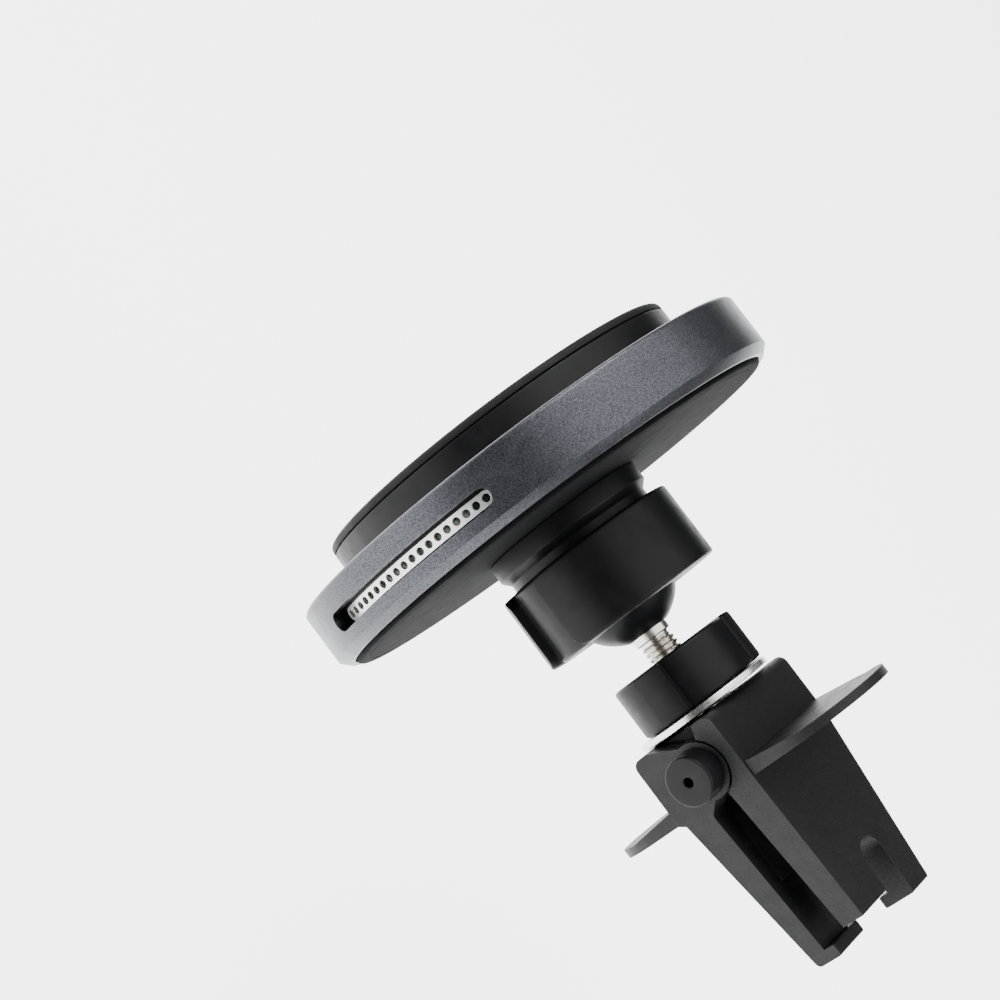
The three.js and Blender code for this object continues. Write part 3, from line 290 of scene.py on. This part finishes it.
def prism(name, axis, points, start, end):
    """An outline pushed along an axis; its two directions are y, z for x; z, x for y; x, y for z."""
    flat = rounded(points, PRISM_STEPS)
    first, second, along = DIRECTIONS[axis]
    vertices = []
    for w in (start, end):
        for u, v in flat:
            p = [0, 0, 0]
            p[first], p[second], p[along] = u, v, w
            vertices.append(p)
    n = len(flat)
    faces = [[i, (i + 1) % n, n + (i + 1) % n, n + i] for i in range(n)]
    faces += [list(range(n)), list(range(n, 2 * n))]
    return outward(obj_from(name, vertices, faces))


def circle(centre, radius, segments=72, start=0.0, end=2 * math.pi):
    whole = abs(end - start - 2 * math.pi) < 1e-6
    count = segments if whole else segments + 1
    return [(centre[0] + radius * math.cos(start + (end - start) * i / segments),
             centre[1] + radius * math.sin(start + (end - start) * i / segments)) for i in range(count)]


def combine(base, other, operation="DIFFERENCE"):
    """Adds or cuts other, which is then gone."""
    bpy.context.view_layer.update()
    cut = base.modifiers.new("cut", "BOOLEAN")
    cut.operation, cut.solver, cut.object = operation, "EXACT", other
    made = bpy.data.meshes.new_from_object(
        base.evaluated_get(bpy.context.evaluated_depsgraph_get()))
    base.modifiers.clear()
    base.data = made
    bpy.data.objects.remove(other)
    return base


def show(obj, body, slot, replaced, bevel=0.0, angle=32):
    """Places a finished piece, rounds its edges, gives it its finish and lets it stand for its CAD nodes."""
    if bevel:
        b = bmesh.new()
        b.from_mesh(obj.data)
        bmesh.ops.remove_doubles(b, verts=b.verts, dist=WELD)
        bmesh.ops.dissolve_limit(b, angle_limit=FLAT, verts=b.verts, edges=b.edges)
        b.to_mesh(obj.data)
        b.free()
    place(obj.data)
    obj.data.shade_smooth()
    obj.data.set_sharp_from_angle(angle=CREASE)
    if bevel:
        rim = obj.modifiers.new("edges", "BEVEL")
        rim.width, rim.segments = bevel * MM, EDGE_STEPS
        rim.limit_method, rim.angle_limit = "ANGLE", angle * DEG
        rim.use_clamp_overlap, rim.harden_normals, rim.miter_outer = True, True, "MITER_ARC"
        bpy.context.view_layer.update()
        made = bpy.data.meshes.new_from_object(
            obj.evaluated_get(bpy.context.evaluated_depsgraph_get()))
        obj.modifiers.clear()
        obj.data = made
    obj.data.materials.clear()
    obj.data.materials.append(LOOKS[slot])
    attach(obj, body)
    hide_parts(*replaced)
    return obj


# ------------------------------------------------------------------ charging head
pad_low, pad_high = span("silicone_pad")
ring_low, ring_high = span("ring_housing")
cover_low, cover_high = span("rear_cover")
socket_low, socket_high = span("ball_socket")
shell_low, shell_high = span("front_shell")
PAD_RADIUS = pad_high.x
RING_RADIUS = ring_high.x
RING_FRONT, RING_REAR = ring_low.y, ring_high.y
RING_WALL, RING_FACE, RING_CHAMFER = 2, 1.4, 1.2
RING_GAP = 0.3  # between the ring and the pad's shell
SHELL_WALL, SHELL_LIP = 1.2, 1
FIT = 0.15
BORE = RING_RADIUS - RING_WALL
GRILLE_Y = RING_REAR - 4.3
GRILLE_HALF = 26.7 * DEG
SLOT_HEIGHT, WINDOW_HEIGHT, STRIP_HEIGHT = 2.8, 2.3, 2
STRIP_RADIUS, STRIP_DEPTH = BORE - 0.25, 0.5
CARRIER_DEPTH = 1.25
HOLES, HOLE_PITCH, HOLE_RADIUS = 19, 2.75, 0.56
CORE = 5  # where the bars that cut the sides start

show(turned("pad_skin", [
    (0, pad_low.y), (PAD_RADIUS - 0.1, pad_low.y, 0.85), (PAD_RADIUS, pad_high.y, 0.2), (0, pad_high.y)]),
    "head", "pad_silicone", ["silicone_pad"])

show(turned("front_casing", [
    (0, shell_low.y), (PAD_RADIUS, shell_low.y, 0.2), (PAD_RADIUS, shell_high.y - SHELL_LIP, 0.1),
    (BORE - FIT, shell_high.y - SHELL_LIP, 0.1), (BORE - FIT, shell_high.y, 0.1),
    (PAD_RADIUS - SHELL_WALL, shell_high.y), (PAD_RADIUS - SHELL_WALL, shell_low.y + SHELL_WALL),
    (0, shell_low.y + SHELL_WALL)]),
    "head", "satin_plastic", ["front_shell"])


def stadium(height, half_length):
    """A long hole's outline in [y, z] about the slots' centre line."""
    r = height / 2
    top = circle((GRILLE_Y, half_length - r), r, 24, 0, math.pi)
    return top + circle((GRILLE_Y, r - half_length), r, 24, math.pi, 2 * math.pi)


def side_bar(name, height, half_length, side):
    start, end = (CORE, RING_RADIUS + 1) if side > 0 else (-RING_RADIUS - 1, -CORE)
    return prism(name, "x", stadium(height, half_length), start, end)


usb_low, usb_high = span("usb_c_shell")
USB_Y = (usb_low.y + usb_high.y) / 2


def inlet_outline(width, height):
    r = height / 2
    right = circle((width / 2 - r, USB_Y), r, 24, -math.pi / 2, math.pi / 2)
    return right + circle((r - width / 2, USB_Y), r, 24, math.pi / 2, 3 * math.pi / 2)


ring = turned("ring_shell", [
    (PAD_RADIUS + RING_GAP, RING_FRONT, 0.2), (RING_RADIUS, RING_FRONT, 0.6),
    (RING_RADIUS, RING_REAR - RING_CHAMFER, 0.12), (RING_RADIUS - RING_CHAMFER, RING_REAR, 0.12),
    (BORE, RING_REAR, 0.1), (BORE, RING_FRONT + RING_FACE),
    (PAD_RADIUS + RING_GAP, RING_FRONT + RING_FACE, 0.2)], segments=VERY_FINE)
SLOT_REACH = RING_RADIUS * math.sin(GRILLE_HALF)
for way in (1, -1):
    combine(ring, side_bar("slot", SLOT_HEIGHT, SLOT_REACH, way))
INLET_ROOM, INLET_WALL, INLET_FLOOR = 0.3, 0.3, 0.9
usb_size = usb_high - usb_low
combine(ring, prism("inlet", "z", inlet_outline(usb_size.x + INLET_ROOM, usb_size.y + INLET_ROOM),
                    -RING_RADIUS - 1, -BORE + 1))
show(ring, "head", "ring_metal", ["ring_housing"], bevel=0.1, angle=50)

for way, side in ((1, "right"), (-1, "left")):
    frame_low, frame_high = span(f"grille_frame_{side}")
    carrier = turned("carrier", [
        (BORE - CARRIER_DEPTH, frame_low.y), (BORE - FIT, frame_low.y), (BORE - FIT, frame_high.y),
        (BORE - CARRIER_DEPTH, frame_high.y)], segments=VERY_FINE)
    half = frame_high.z
    keep = prism("keep", "x", [(frame_low.y - 1, -half), (frame_high.y + 1, -half),
                               (frame_high.y + 1, half), (frame_low.y - 1, half)],
                 *((CORE, 60) if way > 0 else (-60, -CORE)))
    combine(carrier, keep, "INTERSECT")
    combine(carrier, side_bar("window", WINDOW_HEIGHT, (BORE - FIT) * math.sin(GRILLE_HALF), way))
    carrier.name = f"grille_carrier_{side}"
    show(carrier, "head", "satin_plastic", [f"grille_frame_{side}"], bevel=0.06)

    strip = turned("strip", [
        (STRIP_RADIUS - STRIP_DEPTH, RING_FRONT), (STRIP_RADIUS, RING_FRONT), (STRIP_RADIUS, RING_REAR),
        (STRIP_RADIUS - STRIP_DEPTH, RING_REAR)], segments=VERY_FINE)
    reach = (BORE - FIT) * math.sin(GRILLE_HALF) - FIT
    combine(strip, side_bar("bar", STRIP_HEIGHT, reach, way), "INTERSECT")
    for i in range(HOLES):
        angle = (i - HOLES // 2) * HOLE_PITCH * DEG
        round_hole = circle((GRILLE_Y, 0), HOLE_RADIUS, 20)
        hole = prism("hole", "x", round_hole, STRIP_RADIUS - 2, STRIP_RADIUS + 2)
        hole.data.transform(Matrix.Rotation(-angle + (0 if way > 0 else math.pi), 4, "Y"))
        combine(strip, hole)
    strip.name = f"grille_mesh_{side}"
    show(strip, "head", "strip_metal", [f"grille_strip_{side}"], bevel=0.03)

COVER_RADIUS = BORE - FIT
COVER_BACK = cover_high.y
COVER_EDGE = 0.1
GROOVE_OUT, GROOVE_MIDDLE, GROOVE_IN, GROOVE_DEPTH = 1.7, 1.85, 2, 0.12
show(turned("back_cover", [
    (0, cover_low.y), (COVER_RADIUS, cover_low.y, COVER_EDGE),
    (COVER_RADIUS, COVER_BACK - COVER_EDGE, 0.55), (COVER_RADIUS - GROOVE_OUT, COVER_BACK, COVER_EDGE),
    (COVER_RADIUS - GROOVE_MIDDLE, COVER_BACK - GROOVE_DEPTH, 0.05),
    (COVER_RADIUS - GROOVE_IN, COVER_BACK, COVER_EDGE), (0, COVER_BACK)], segments=VERY_FINE),
    "head", "cover_plastic", ["rear_cover"])

FLANGE_RADIUS = socket_high.x
FLANGE_HEIGHT, FLANGE_SLOPE = 3.8, 1.1
FLANGE_REAR = COVER_BACK + FLANGE_HEIGHT
CAVITY, NECK_WALL = 10, 1.3
NECK = CAVITY + NECK_WALL
bowl = [(CAVITY * math.sin(a * DEG), -CAVITY * math.cos(a * DEG)) for a in range(90, -1, -5)]
show(turned("socket_base", [
    (0, socket_low.y), (FLANGE_RADIUS, socket_low.y, 0.1), (FLANGE_RADIUS, FLANGE_REAR - FLANGE_SLOPE, 0.25),
    (NECK, FLANGE_REAR, 0.1), (NECK, 0, 0.1), *bowl]),
    "head", "satin_plastic", ["ball_socket"])

usb = prism("inlet_shell", "z", inlet_outline(usb_size.x, usb_size.y), usb_low.z, usb_high.z)
hollow = inlet_outline(usb_size.x - 2 * INLET_WALL, usb_size.y - 2 * INLET_WALL)
combine(usb, prism("hollow", "z", hollow, usb_low.z - 1, usb_high.z - INLET_FLOOR))
show(usb, "head", "plated_steel", ["usb_c_shell"], bevel=0.08)


# ------------------------------------------------------------------ ball joint, nuts, stud and washer
def ease(x):
    x = max(0.0, min(1.0, x))
    return x * x * (3 - 2 * x)


NUT_SEGMENTS, NUT_ROWS, NUT_FILLET = 720, 56, 0.6


def ribbed(name, outer, step, spans, front, rear, bore, corner, edge):
    """A nut whose outer face is raised by step over spans of angle, its raised pads with round corners.
    bore is the inner profile from rear to front as (radius, y)."""
    segments, rows, fillet = NUT_SEGMENTS, NUT_ROWS, NUT_FILLET
    middle, half_y = (front + rear) / 2, (rear - front) / 2

    def raised(angle, y):
        best = 1e9
        for low, high in spans:
            centre, half = (low + high) / 2, (high - low) / 2 * outer
            off = (angle - centre + math.pi) % (2 * math.pi) - math.pi
            qx = abs(off) * outer - half + corner
            qy = abs(y - middle) - half_y + corner
            outside = math.hypot(max(qx, 0), max(qy, 0)) + min(max(qx, qy), 0) - corner
            best = min(best, outside)
        return ease(0.5 - best / edge)

    def fall(y):
        from_end = half_y - abs(y - middle)
        if from_end >= fillet:
            return 0.0
        return fillet - math.sqrt(max(0.0, fillet ** 2 - (fillet - from_end) ** 2))

    ys = [middle - half_y * math.cos(math.pi * k / rows) for k in range(rows + 1)]
    vertices, count = [], 0
    for y in ys:
        for k in range(segments):
            a = 2 * math.pi * k / segments
            r = outer - step + step * raised(a, y) - fall(y)
            vertices.append((r * math.cos(a), y, r * math.sin(a)))
        count += 1
    for r, y in bore:
        for k in range(segments):
            a = 2 * math.pi * k / segments
            vertices.append((r * math.cos(a), y, r * math.sin(a)))
        count += 1
    faces = []
    for i in range(count):
        a, b = i * segments, ((i + 1) % count) * segments
        for k in range(segments):
            n = (k + 1) % segments
            faces.append([a + k, a + n, b + n, b + k])
    return outward(obj_from(name, vertices, faces))


collar_low, collar_high = span("collar_nut")
COLLAR_RADIUS, COLLAR_RAISED = 13.8, 1.5
COLLAR_START, COLLAR_ARC = -5, 146  # degrees, of the first of two raised pads
collar_starts = [COLLAR_START + 180 * i for i in range(2)]
collar_spans = [(at * DEG, (at + COLLAR_ARC) * DEG) for at in collar_starts]
collar_bore = [(8.3, collar_high.y), (8.0, collar_high.y - 0.3), (8.0, collar_high.y - 0.9),
               (10.3, collar_high.y - 0.9), (10.3, 3.5), (11.6, 0.4), (11.6, collar_low.y + 0.3),
               (11.9, collar_low.y)]
show(ribbed("collar", COLLAR_RADIUS, COLLAR_RAISED, collar_spans, collar_low.y, collar_high.y, collar_bore,
             corner=2.0, edge=0.4), "collar_nut", "satin_plastic", ["collar_nut"])

clamp_low, clamp_high = span("clamp_nut")
CLAMP_RADIUS, CLAMP_RAISED = 10.3, 1.25
CLAMP_START, CLAMP_ARC = -2, 27  # degrees, of the first of three ribs
CLAMP_BORE, CLAMP_MOUTH, MOUTH_DEPTH = 2.75, 3.1, 0.35
clamp_starts = [CLAMP_START + 120 * i for i in range(3)]
clamp_spans = [(at * DEG, (at + CLAMP_ARC) * DEG) for at in clamp_starts]
clamp_bore = [(CLAMP_MOUTH, clamp_high.y), (CLAMP_BORE, clamp_high.y - MOUTH_DEPTH),
              (CLAMP_BORE, clamp_low.y + MOUTH_DEPTH), (CLAMP_MOUTH, clamp_low.y)]
show(ribbed("locking_nut", CLAMP_RADIUS, CLAMP_RAISED, clamp_spans, clamp_low.y, clamp_high.y, clamp_bore,
             corner=0.6, edge=0.35), "clamp_nut", "satin_plastic", ["clamp_nut"])

arc = [(BALL_RADIUS * math.cos(a * DEG), BALL_RADIUS * math.sin(a * DEG)) for a in range(-90, 67, 2)]
arc[0] = (0, -BALL_RADIUS)
BALL_TOP, STUD_HOLE, HOLE_FLOOR = 7.9, 2.95, -0.2
show(turned("ball_skin", arc + [(3.13, BALL_TOP, 0.15), (STUD_HOLE, BALL_TOP), (STUD_HOLE, HOLE_FLOOR),
                                (0, HOLE_FLOOR)]),
     "clip", "satin_plastic", ["ball"])

stud_low, stud_high = span("threaded_stud")
THREAD_RADIUS, THREAD_PITCH, THREAD_DEPTH = 2.55, 0.8, 0.42
THREAD_START, THREAD_LEAD = 9.4, 0.5
ROWS_A_TURN = 14


def thread():
    """The stud: a plain collar, a groove, and a real thread."""
    segments = 96
    start, end = THREAD_START, stud_high.y
    count = int((end - start) / THREAD_PITCH * ROWS_A_TURN)
    rows = [(2.6, stud_low.y), (2.8, stud_low.y + 0.2), (2.8, 8.95), (2.65, 9.1),
            (2.2, 9.15), (2.2, 9.35)]
    vertices, index = [], []

    def ring_of(radius_at, y):
        row = []
        for k in range(segments):
            a = 2 * math.pi * k / segments
            r = radius_at(a)
            row.append(len(vertices))
            vertices.append((r * math.cos(a), y, r * math.sin(a)))
        index.append(row)

    for r, y in rows:
        ring_of(lambda a, r=r: r, y)
    for i in range(count + 1):
        y = start + (end - start) * i / count
        lead = ease((y - start) / THREAD_LEAD) * ease((end - y) / THREAD_LEAD)

        def crest(a, y=y, lead=lead):
            phase = ((y / THREAD_PITCH) - a / (2 * math.pi)) % 1
            tooth = 1 - abs(2 * phase - 1)
            flank = min(1.0, max(0.0, tooth * 1.25 - 0.1))
            return THREAD_RADIUS - THREAD_DEPTH + THREAD_DEPTH * lead * flank

        ring_of(crest, y)
    vertices.append((0, stud_low.y, 0))
    index.insert(0, [len(vertices) - 1] * segments)
    vertices.append((0, end, 0))
    index.append([len(vertices) - 1] * segments)
    faces = []
    for a, b in zip(index, index[1:]):
        for k in range(segments):
            n = (k + 1) % segments
            quad = list(dict.fromkeys([a[k], a[n], b[n], b[k]]))
            if len(quad) > 2:
                faces.append(quad)
    return outward(obj_from("stud_thread", vertices, faces))


show(thread(), "clip", "stud_nickel", ["threaded_stud"])

washer_low, washer_high = span("washer")
WASHER_BORE = 2.85
show(turned("locking_washer", [
    (WASHER_BORE, washer_low.y, 0.1), (washer_high.x, washer_low.y, 0.2),
    (washer_high.x, washer_high.y, 0.2), (WASHER_BORE, washer_high.y, 0.1)]),
    "washer", "washer_zinc", ["washer"])

# ------------------------------------------------------------------ vent clip
clip_low, clip_high = span("clip_body")
lever_low = span("lever")[0]
CLIP_WIDTH, END_WIDTH = 23.4, 18.0
CLIP_TOP, END_TOP = 7.5, 6.3
CLIP_FRONT, JAW_END, SHORT_END = clip_low.y, 57.6, 54.6
GRIP, LIP_RISE, LIP = 2.75, 1.7, 1.8
TAB_REAR, TAB_ROOT, TAB_TIP, TAB_HALF = 31.4, 2.4, 1.3, 11.4
PIVOT = (27.1, 1.1)
BOSS, GAP, CHEEK = 4.25, 0.35, 8.15
HEEL, TONGUE, TONGUE_HALF = 7.3, 3.4, 7.8
PIN_HOLE = 1.75
SPLIT, SPLIT_HALF, SPLIT_DEPTH = -1.2, 2.6, 10.2
LEVER_INSIDE = -2.1  # the height of the lever's inner face at its tip
BED_ROOM = 0.1  # round a grip pad
THROUGH = (-12, 12)  # heights that a cut through both jaws spans
SPRING_SIDE, SPRING_ROOM, SPRING_REACH = (3.05, 7.35), 2.95, 6.35
STUD_ROOM, STUD_DEPTH = 2.7, 3.8


def clip_plan(name, start, end):
    share = (end - TAB_REAR) / (JAW_END - TAB_REAR)
    last = (CLIP_WIDTH + (END_WIDTH - CLIP_WIDTH) * share) / 2
    half = CLIP_WIDTH / 2
    return prism(name, "z", [(-half, start), (half, start), (half, TAB_REAR), (last, end),
                             (-last, end), (-half, TAB_REAR)], -HEEL - 1, CLIP_TOP + 1)


def notch(name):
    r, inner = SPLIT_HALF, JAW_END - SPLIT_DEPTH
    arc_points = circle((SPLIT, inner + r), r, 36, math.pi, 2 * math.pi)
    return prism(name, "z", arc_points + [(SPLIT + r, JAW_END + 1), (SPLIT - r, JAW_END + 1)], *THROUGH)


def wing(name, up, start, reach):
    """A round-ended wing: thick where it meets the jaw, thin at its tip, flat at the rear."""
    centre = up * (reach - TAB_HALF)
    ends = (-math.pi / 2, math.pi / 2) if up > 0 else (math.pi / 2, 3 * math.pi / 2)
    plan = circle((centre, 0), TAB_HALF, 64, *ends)
    plan += [(up * start, up * TAB_HALF), (up * start, -up * TAB_HALF)]
    slab = prism(name, "y", plan, TAB_REAR - TAB_ROOT, TAB_REAR)
    side = prism("taper", "x", [
        (TAB_REAR - TAB_ROOT, up * start), (TAB_REAR - TAB_TIP, up * (start + 0.6 * (reach - start)), 4),
        (TAB_REAR - TAB_TIP, up * (reach + 1)), (TAB_REAR, up * (reach + 1)), (TAB_REAR, up * start)],
        -15, 15)
    return combine(slab, side, "INTERSECT")


def cube(name, x, y, z):
    return prism(name, "z", [(x[0], y[0]), (x[1], y[0]), (x[1], y[1]), (x[0], y[1])], *z)


def pivot_rod(name, radius, x=(-14, 14)):
    return prism(name, "x", circle(PIVOT, radius), *x)


jaw = prism("jaw", "x", [
    (CLIP_FRONT, GRIP + 1.6), (CLIP_FRONT, CLIP_TOP, 1.4), (TAB_REAR, CLIP_TOP), (JAW_END, END_TOP, 0.3),
    (JAW_END, GRIP - LIP_RISE, 0.3), (JAW_END - LIP, GRIP - LIP_RISE, 0.3), (JAW_END - LIP, GRIP),
    (CLIP_FRONT + 4, GRIP)], -CLIP_WIDTH / 2, CLIP_WIDTH / 2)
combine(jaw, pivot_rod("room", BOSS + GAP))
combine(jaw, prism("tongue", "x", [
    (CLIP_FRONT, -TONGUE, 0.6), (CLIP_FRONT, GRIP + 2), (PIVOT[0] + 6.2, GRIP + 2), (PIVOT[0] + 6.2, GRIP),
    (PIVOT[0] + 4, -TONGUE, 2)], -TONGUE_HALF, TONGUE_HALF), "UNION")
combine(jaw, clip_plan("plan", CLIP_FRONT - 1, JAW_END), "INTERSECT")
combine(jaw, notch("split"))
combine(jaw, cube("short", (SPLIT, 20), (SHORT_END, 60), THROUGH))
pad_low_f, pad_high_f = span("fixed_grip_pad")
combine(jaw, cube("bed", (pad_low_f.x - BED_ROOM, pad_high_f.x + BED_ROOM),
                  (pad_low_f.y - BED_ROOM, pad_high_f.y + BED_ROOM), (GRIP - 1, pad_high_f.z + BED_ROOM)))
combine(jaw, wing("wing", 1, CLIP_TOP - 2, clip_high.z), "UNION")
combine(jaw, pivot_rod("pin", PIN_HOLE))
combine(jaw, cube("spring_room", SPRING_SIDE, (PIVOT[0] - SPRING_ROOM, PIVOT[0] + SPRING_REACH),
                  (THROUGH[0], PIVOT[1] + SPRING_ROOM)))
combine(jaw, turned("stud_room", [
    (0, CLIP_FRONT - 1), (STUD_ROOM, CLIP_FRONT - 1), (STUD_ROOM, CLIP_FRONT + STUD_DEPTH),
    (0, CLIP_FRONT + STUD_DEPTH)], segments=64))
jaw.name = "fixed_jaw"
show(jaw, "clip", "textured_plastic", ["clip_body"], bevel=0.22)

front = lever_low.y
arm = prism("arm", "x", [
    (front, -HEEL + 2.8, 0.6), (PIVOT[0] - BOSS + 0.3, PIVOT[1]), (PIVOT[0] + BOSS, PIVOT[1] - 1),
    (TAB_REAR + 1.4, -1.7, 1), (JAW_END - LIP, LEVER_INSIDE),
    (JAW_END - LIP, LEVER_INSIDE + LIP_RISE, 0.3), (JAW_END, LEVER_INSIDE + LIP_RISE, 0.3),
    (JAW_END, -4.7, 0.8), (TAB_REAR + 0.6, -6.3, 0.3), (TAB_REAR, -HEEL), (front, -HEEL, 1.6)],
    -CLIP_WIDTH / 2, CLIP_WIDTH / 2)
combine(arm, pivot_rod("boss", BOSS, (-CLIP_WIDTH / 2, CLIP_WIDTH / 2)), "UNION")
combine(arm, clip_plan("plan", front - 0.1, JAW_END), "INTERSECT")
combine(arm, notch("split"))
combine(arm, cube("short", (-20, SPLIT), (SHORT_END, 60), THROUGH))
combine(arm, prism("room", "x", [
    (front - 1, -TONGUE - 1.7), (PIVOT[0], -TONGUE - GAP), (PIVOT[0] + 3.4, -TONGUE - GAP),
    (PIVOT[0] + 7.2, -1.7), (PIVOT[0] + 7.2, 8), (front - 1, 8)], -CHEEK, CHEEK))
pad_low_l, pad_high_l = span("lever_grip_pad")
combine(arm, cube("bed", (pad_low_l.x - BED_ROOM, pad_high_l.x + BED_ROOM),
                  (pad_low_l.y - BED_ROOM, pad_high_l.y + BED_ROOM), (pad_low_l.z - BED_ROOM, 0)))
combine(arm, wing("wing", -1, HEEL - 2, -lever_low.z), "UNION")
combine(arm, pivot_rod("pin", PIN_HOLE))
arm.name = "moving_jaw"
show(arm, "lever", "textured_plastic", ["lever"], bevel=0.22)

pin_low, pin_high = span("pivot_pin")
PIN_RADIUS, PIN_HEAD, PIN_SOCKET = 1.6, 3.55, 1.6
UNDER_HEAD = CLIP_WIDTH / 2 + 0.1
show(turned("pin_with_head", [
    (0, pin_low.x), (PIN_RADIUS, pin_low.x, 0.3), (PIN_RADIUS, UNDER_HEAD), (PIN_HEAD, UNDER_HEAD, 0.1),
    (PIN_HEAD, pin_high.x, 0.3), (0.75, pin_high.x, 0.1), (0.65, pin_high.x - PIN_SOCKET),
    (0, pin_high.x - PIN_SOCKET)],
    axis="x", centre=PIVOT, segments=96), "clip", "satin_plastic", ["pivot_pin"])

for node, body in (("fixed_grip_pad", "clip"), ("lever_grip_pad", "lever")):
    low, high = span(node)
    grip = prism("rubber_" + body, "z", [(low.x, low.y, 0.8), (high.x, low.y, 0.8), (high.x, high.y, 0.8),
                                         (low.x, high.y, 0.8)], low.z, high.z)
    show(grip, body, "grip_rubber", [node], bevel=0.12)

# ------------------------------------------------------------------ carried-over CAD nodes
slots = {s["node"]: s["material_slot"] for s in frame["record"]["subparts"]}
for name, node in frame["nodes"].items():
    if not node.hide_render:
        node.data.materials.clear()
        node.data.materials.append(LOOKS[slots[name]])

# ------------------------------------------------------------------ floor, light and camera
FLOOR_HALF, FLOOR_DROP = 4, 0.06  # metres
FLOOR_GLOW, SKY_STRENGTH = 3.0, 0.1
low = cad_bounds[0]
corners = [(x * FLOOR_HALF, y * FLOOR_HALF, 0) for x, y in ((-1, -1), (1, -1), (1, 1), (-1, 1))]
floor = obj_from("floor", corners, [[0, 1, 2, 3]])
floor.location.z = low.z - FLOOR_DROP
pale = Nodes("pale floor")
pale.link(pale.mix(pale.span(pale.noise(60), 0, 1), (0.93, 0.93, 0.93), (0.94, 0.94, 0.94)), "Base Color")
pale.shader.inputs["Roughness"].default_value = 0.9
pale.shader.inputs["Emission Color"].default_value = (1, 1, 1, 1)
pale.shader.inputs["Emission Strength"].default_value = FLOOR_GLOW
floor.data.materials.append(pale.material)

world = bpy.data.worlds.new("studio")
world.use_nodes = True
world.node_tree.nodes["Background"].inputs["Color"].default_value = (1, 1, 1, 1)
world.node_tree.nodes["Background"].inputs["Strength"].default_value = SKY_STRENGTH
bpy.context.scene.world = world

VIEW_ANGLE = 35 * DEG  # how far the camera is raised from the +X side
DISTANCE, SHIFT, FOCAL = 335, 12, 87.5
SENSOR, NEAREST = 36, 0.01
towards = Vector((math.cos(VIEW_ANGLE), 0, math.sin(VIEW_ANGLE)))
across = Vector((-math.sin(VIEW_ANGLE), 0, math.cos(VIEW_ANGLE)))
along = Vector((0, 1, 0))
ROLL_ALONG, ROLL_ACROSS = 0.614, 0.789  # the picture's right as a mix of the two
right = ROLL_ALONG * along + ROLL_ACROSS * across
down = ROLL_ACROSS * along - ROLL_ALONG * across
lean = Vector((-0.063, 0.0688, 0.0145))  # a last small turn, as an axis times an angle
turn = Matrix.Rotation(lean.length, 3, lean.normalized())
axes = turn @ Matrix((right.normalized(), down.normalized(), -towards))
camera = bpy.data.objects.new("camera", bpy.data.cameras.new("camera"))
camera.data.lens, camera.data.sensor_width = FOCAL, SENSOR
camera.data.clip_start = NEAREST
bpy.context.scene.collection.objects.link(camera)
eye = CENTRE + (DISTANCE * towards + SHIFT * along) * MM
camera.matrix_world = Matrix.Translation(eye) @ Matrix((axes[0], -axes[1], -axes[2])).transposed().to_4x4()
bpy.context.scene.camera = camera


def softbox(name, direction, power, size, distance=0.5):
    light = bpy.data.objects.new(name, bpy.data.lights.new(name, "AREA"))
    light.data.energy, light.data.size = power, size
    light.location = CENTRE + direction.normalized() * distance
    light.rotation_euler = (-direction).to_track_quat("-Z", "Y").to_euler()
    bpy.context.scene.collection.objects.link(light)


softbox("ceiling", Vector((0, 0, 1)), power=75, size=3.0, distance=2.0)
softbox("key", -down * 0.9 + towards * 0.5, power=3.2, size=0.3)
softbox("left", -right + towards * 0.3, power=2.2, size=0.25)
softbox("right", right * 0.9 + down * 0.2 + towards * 0.4, power=1.8, size=0.25)
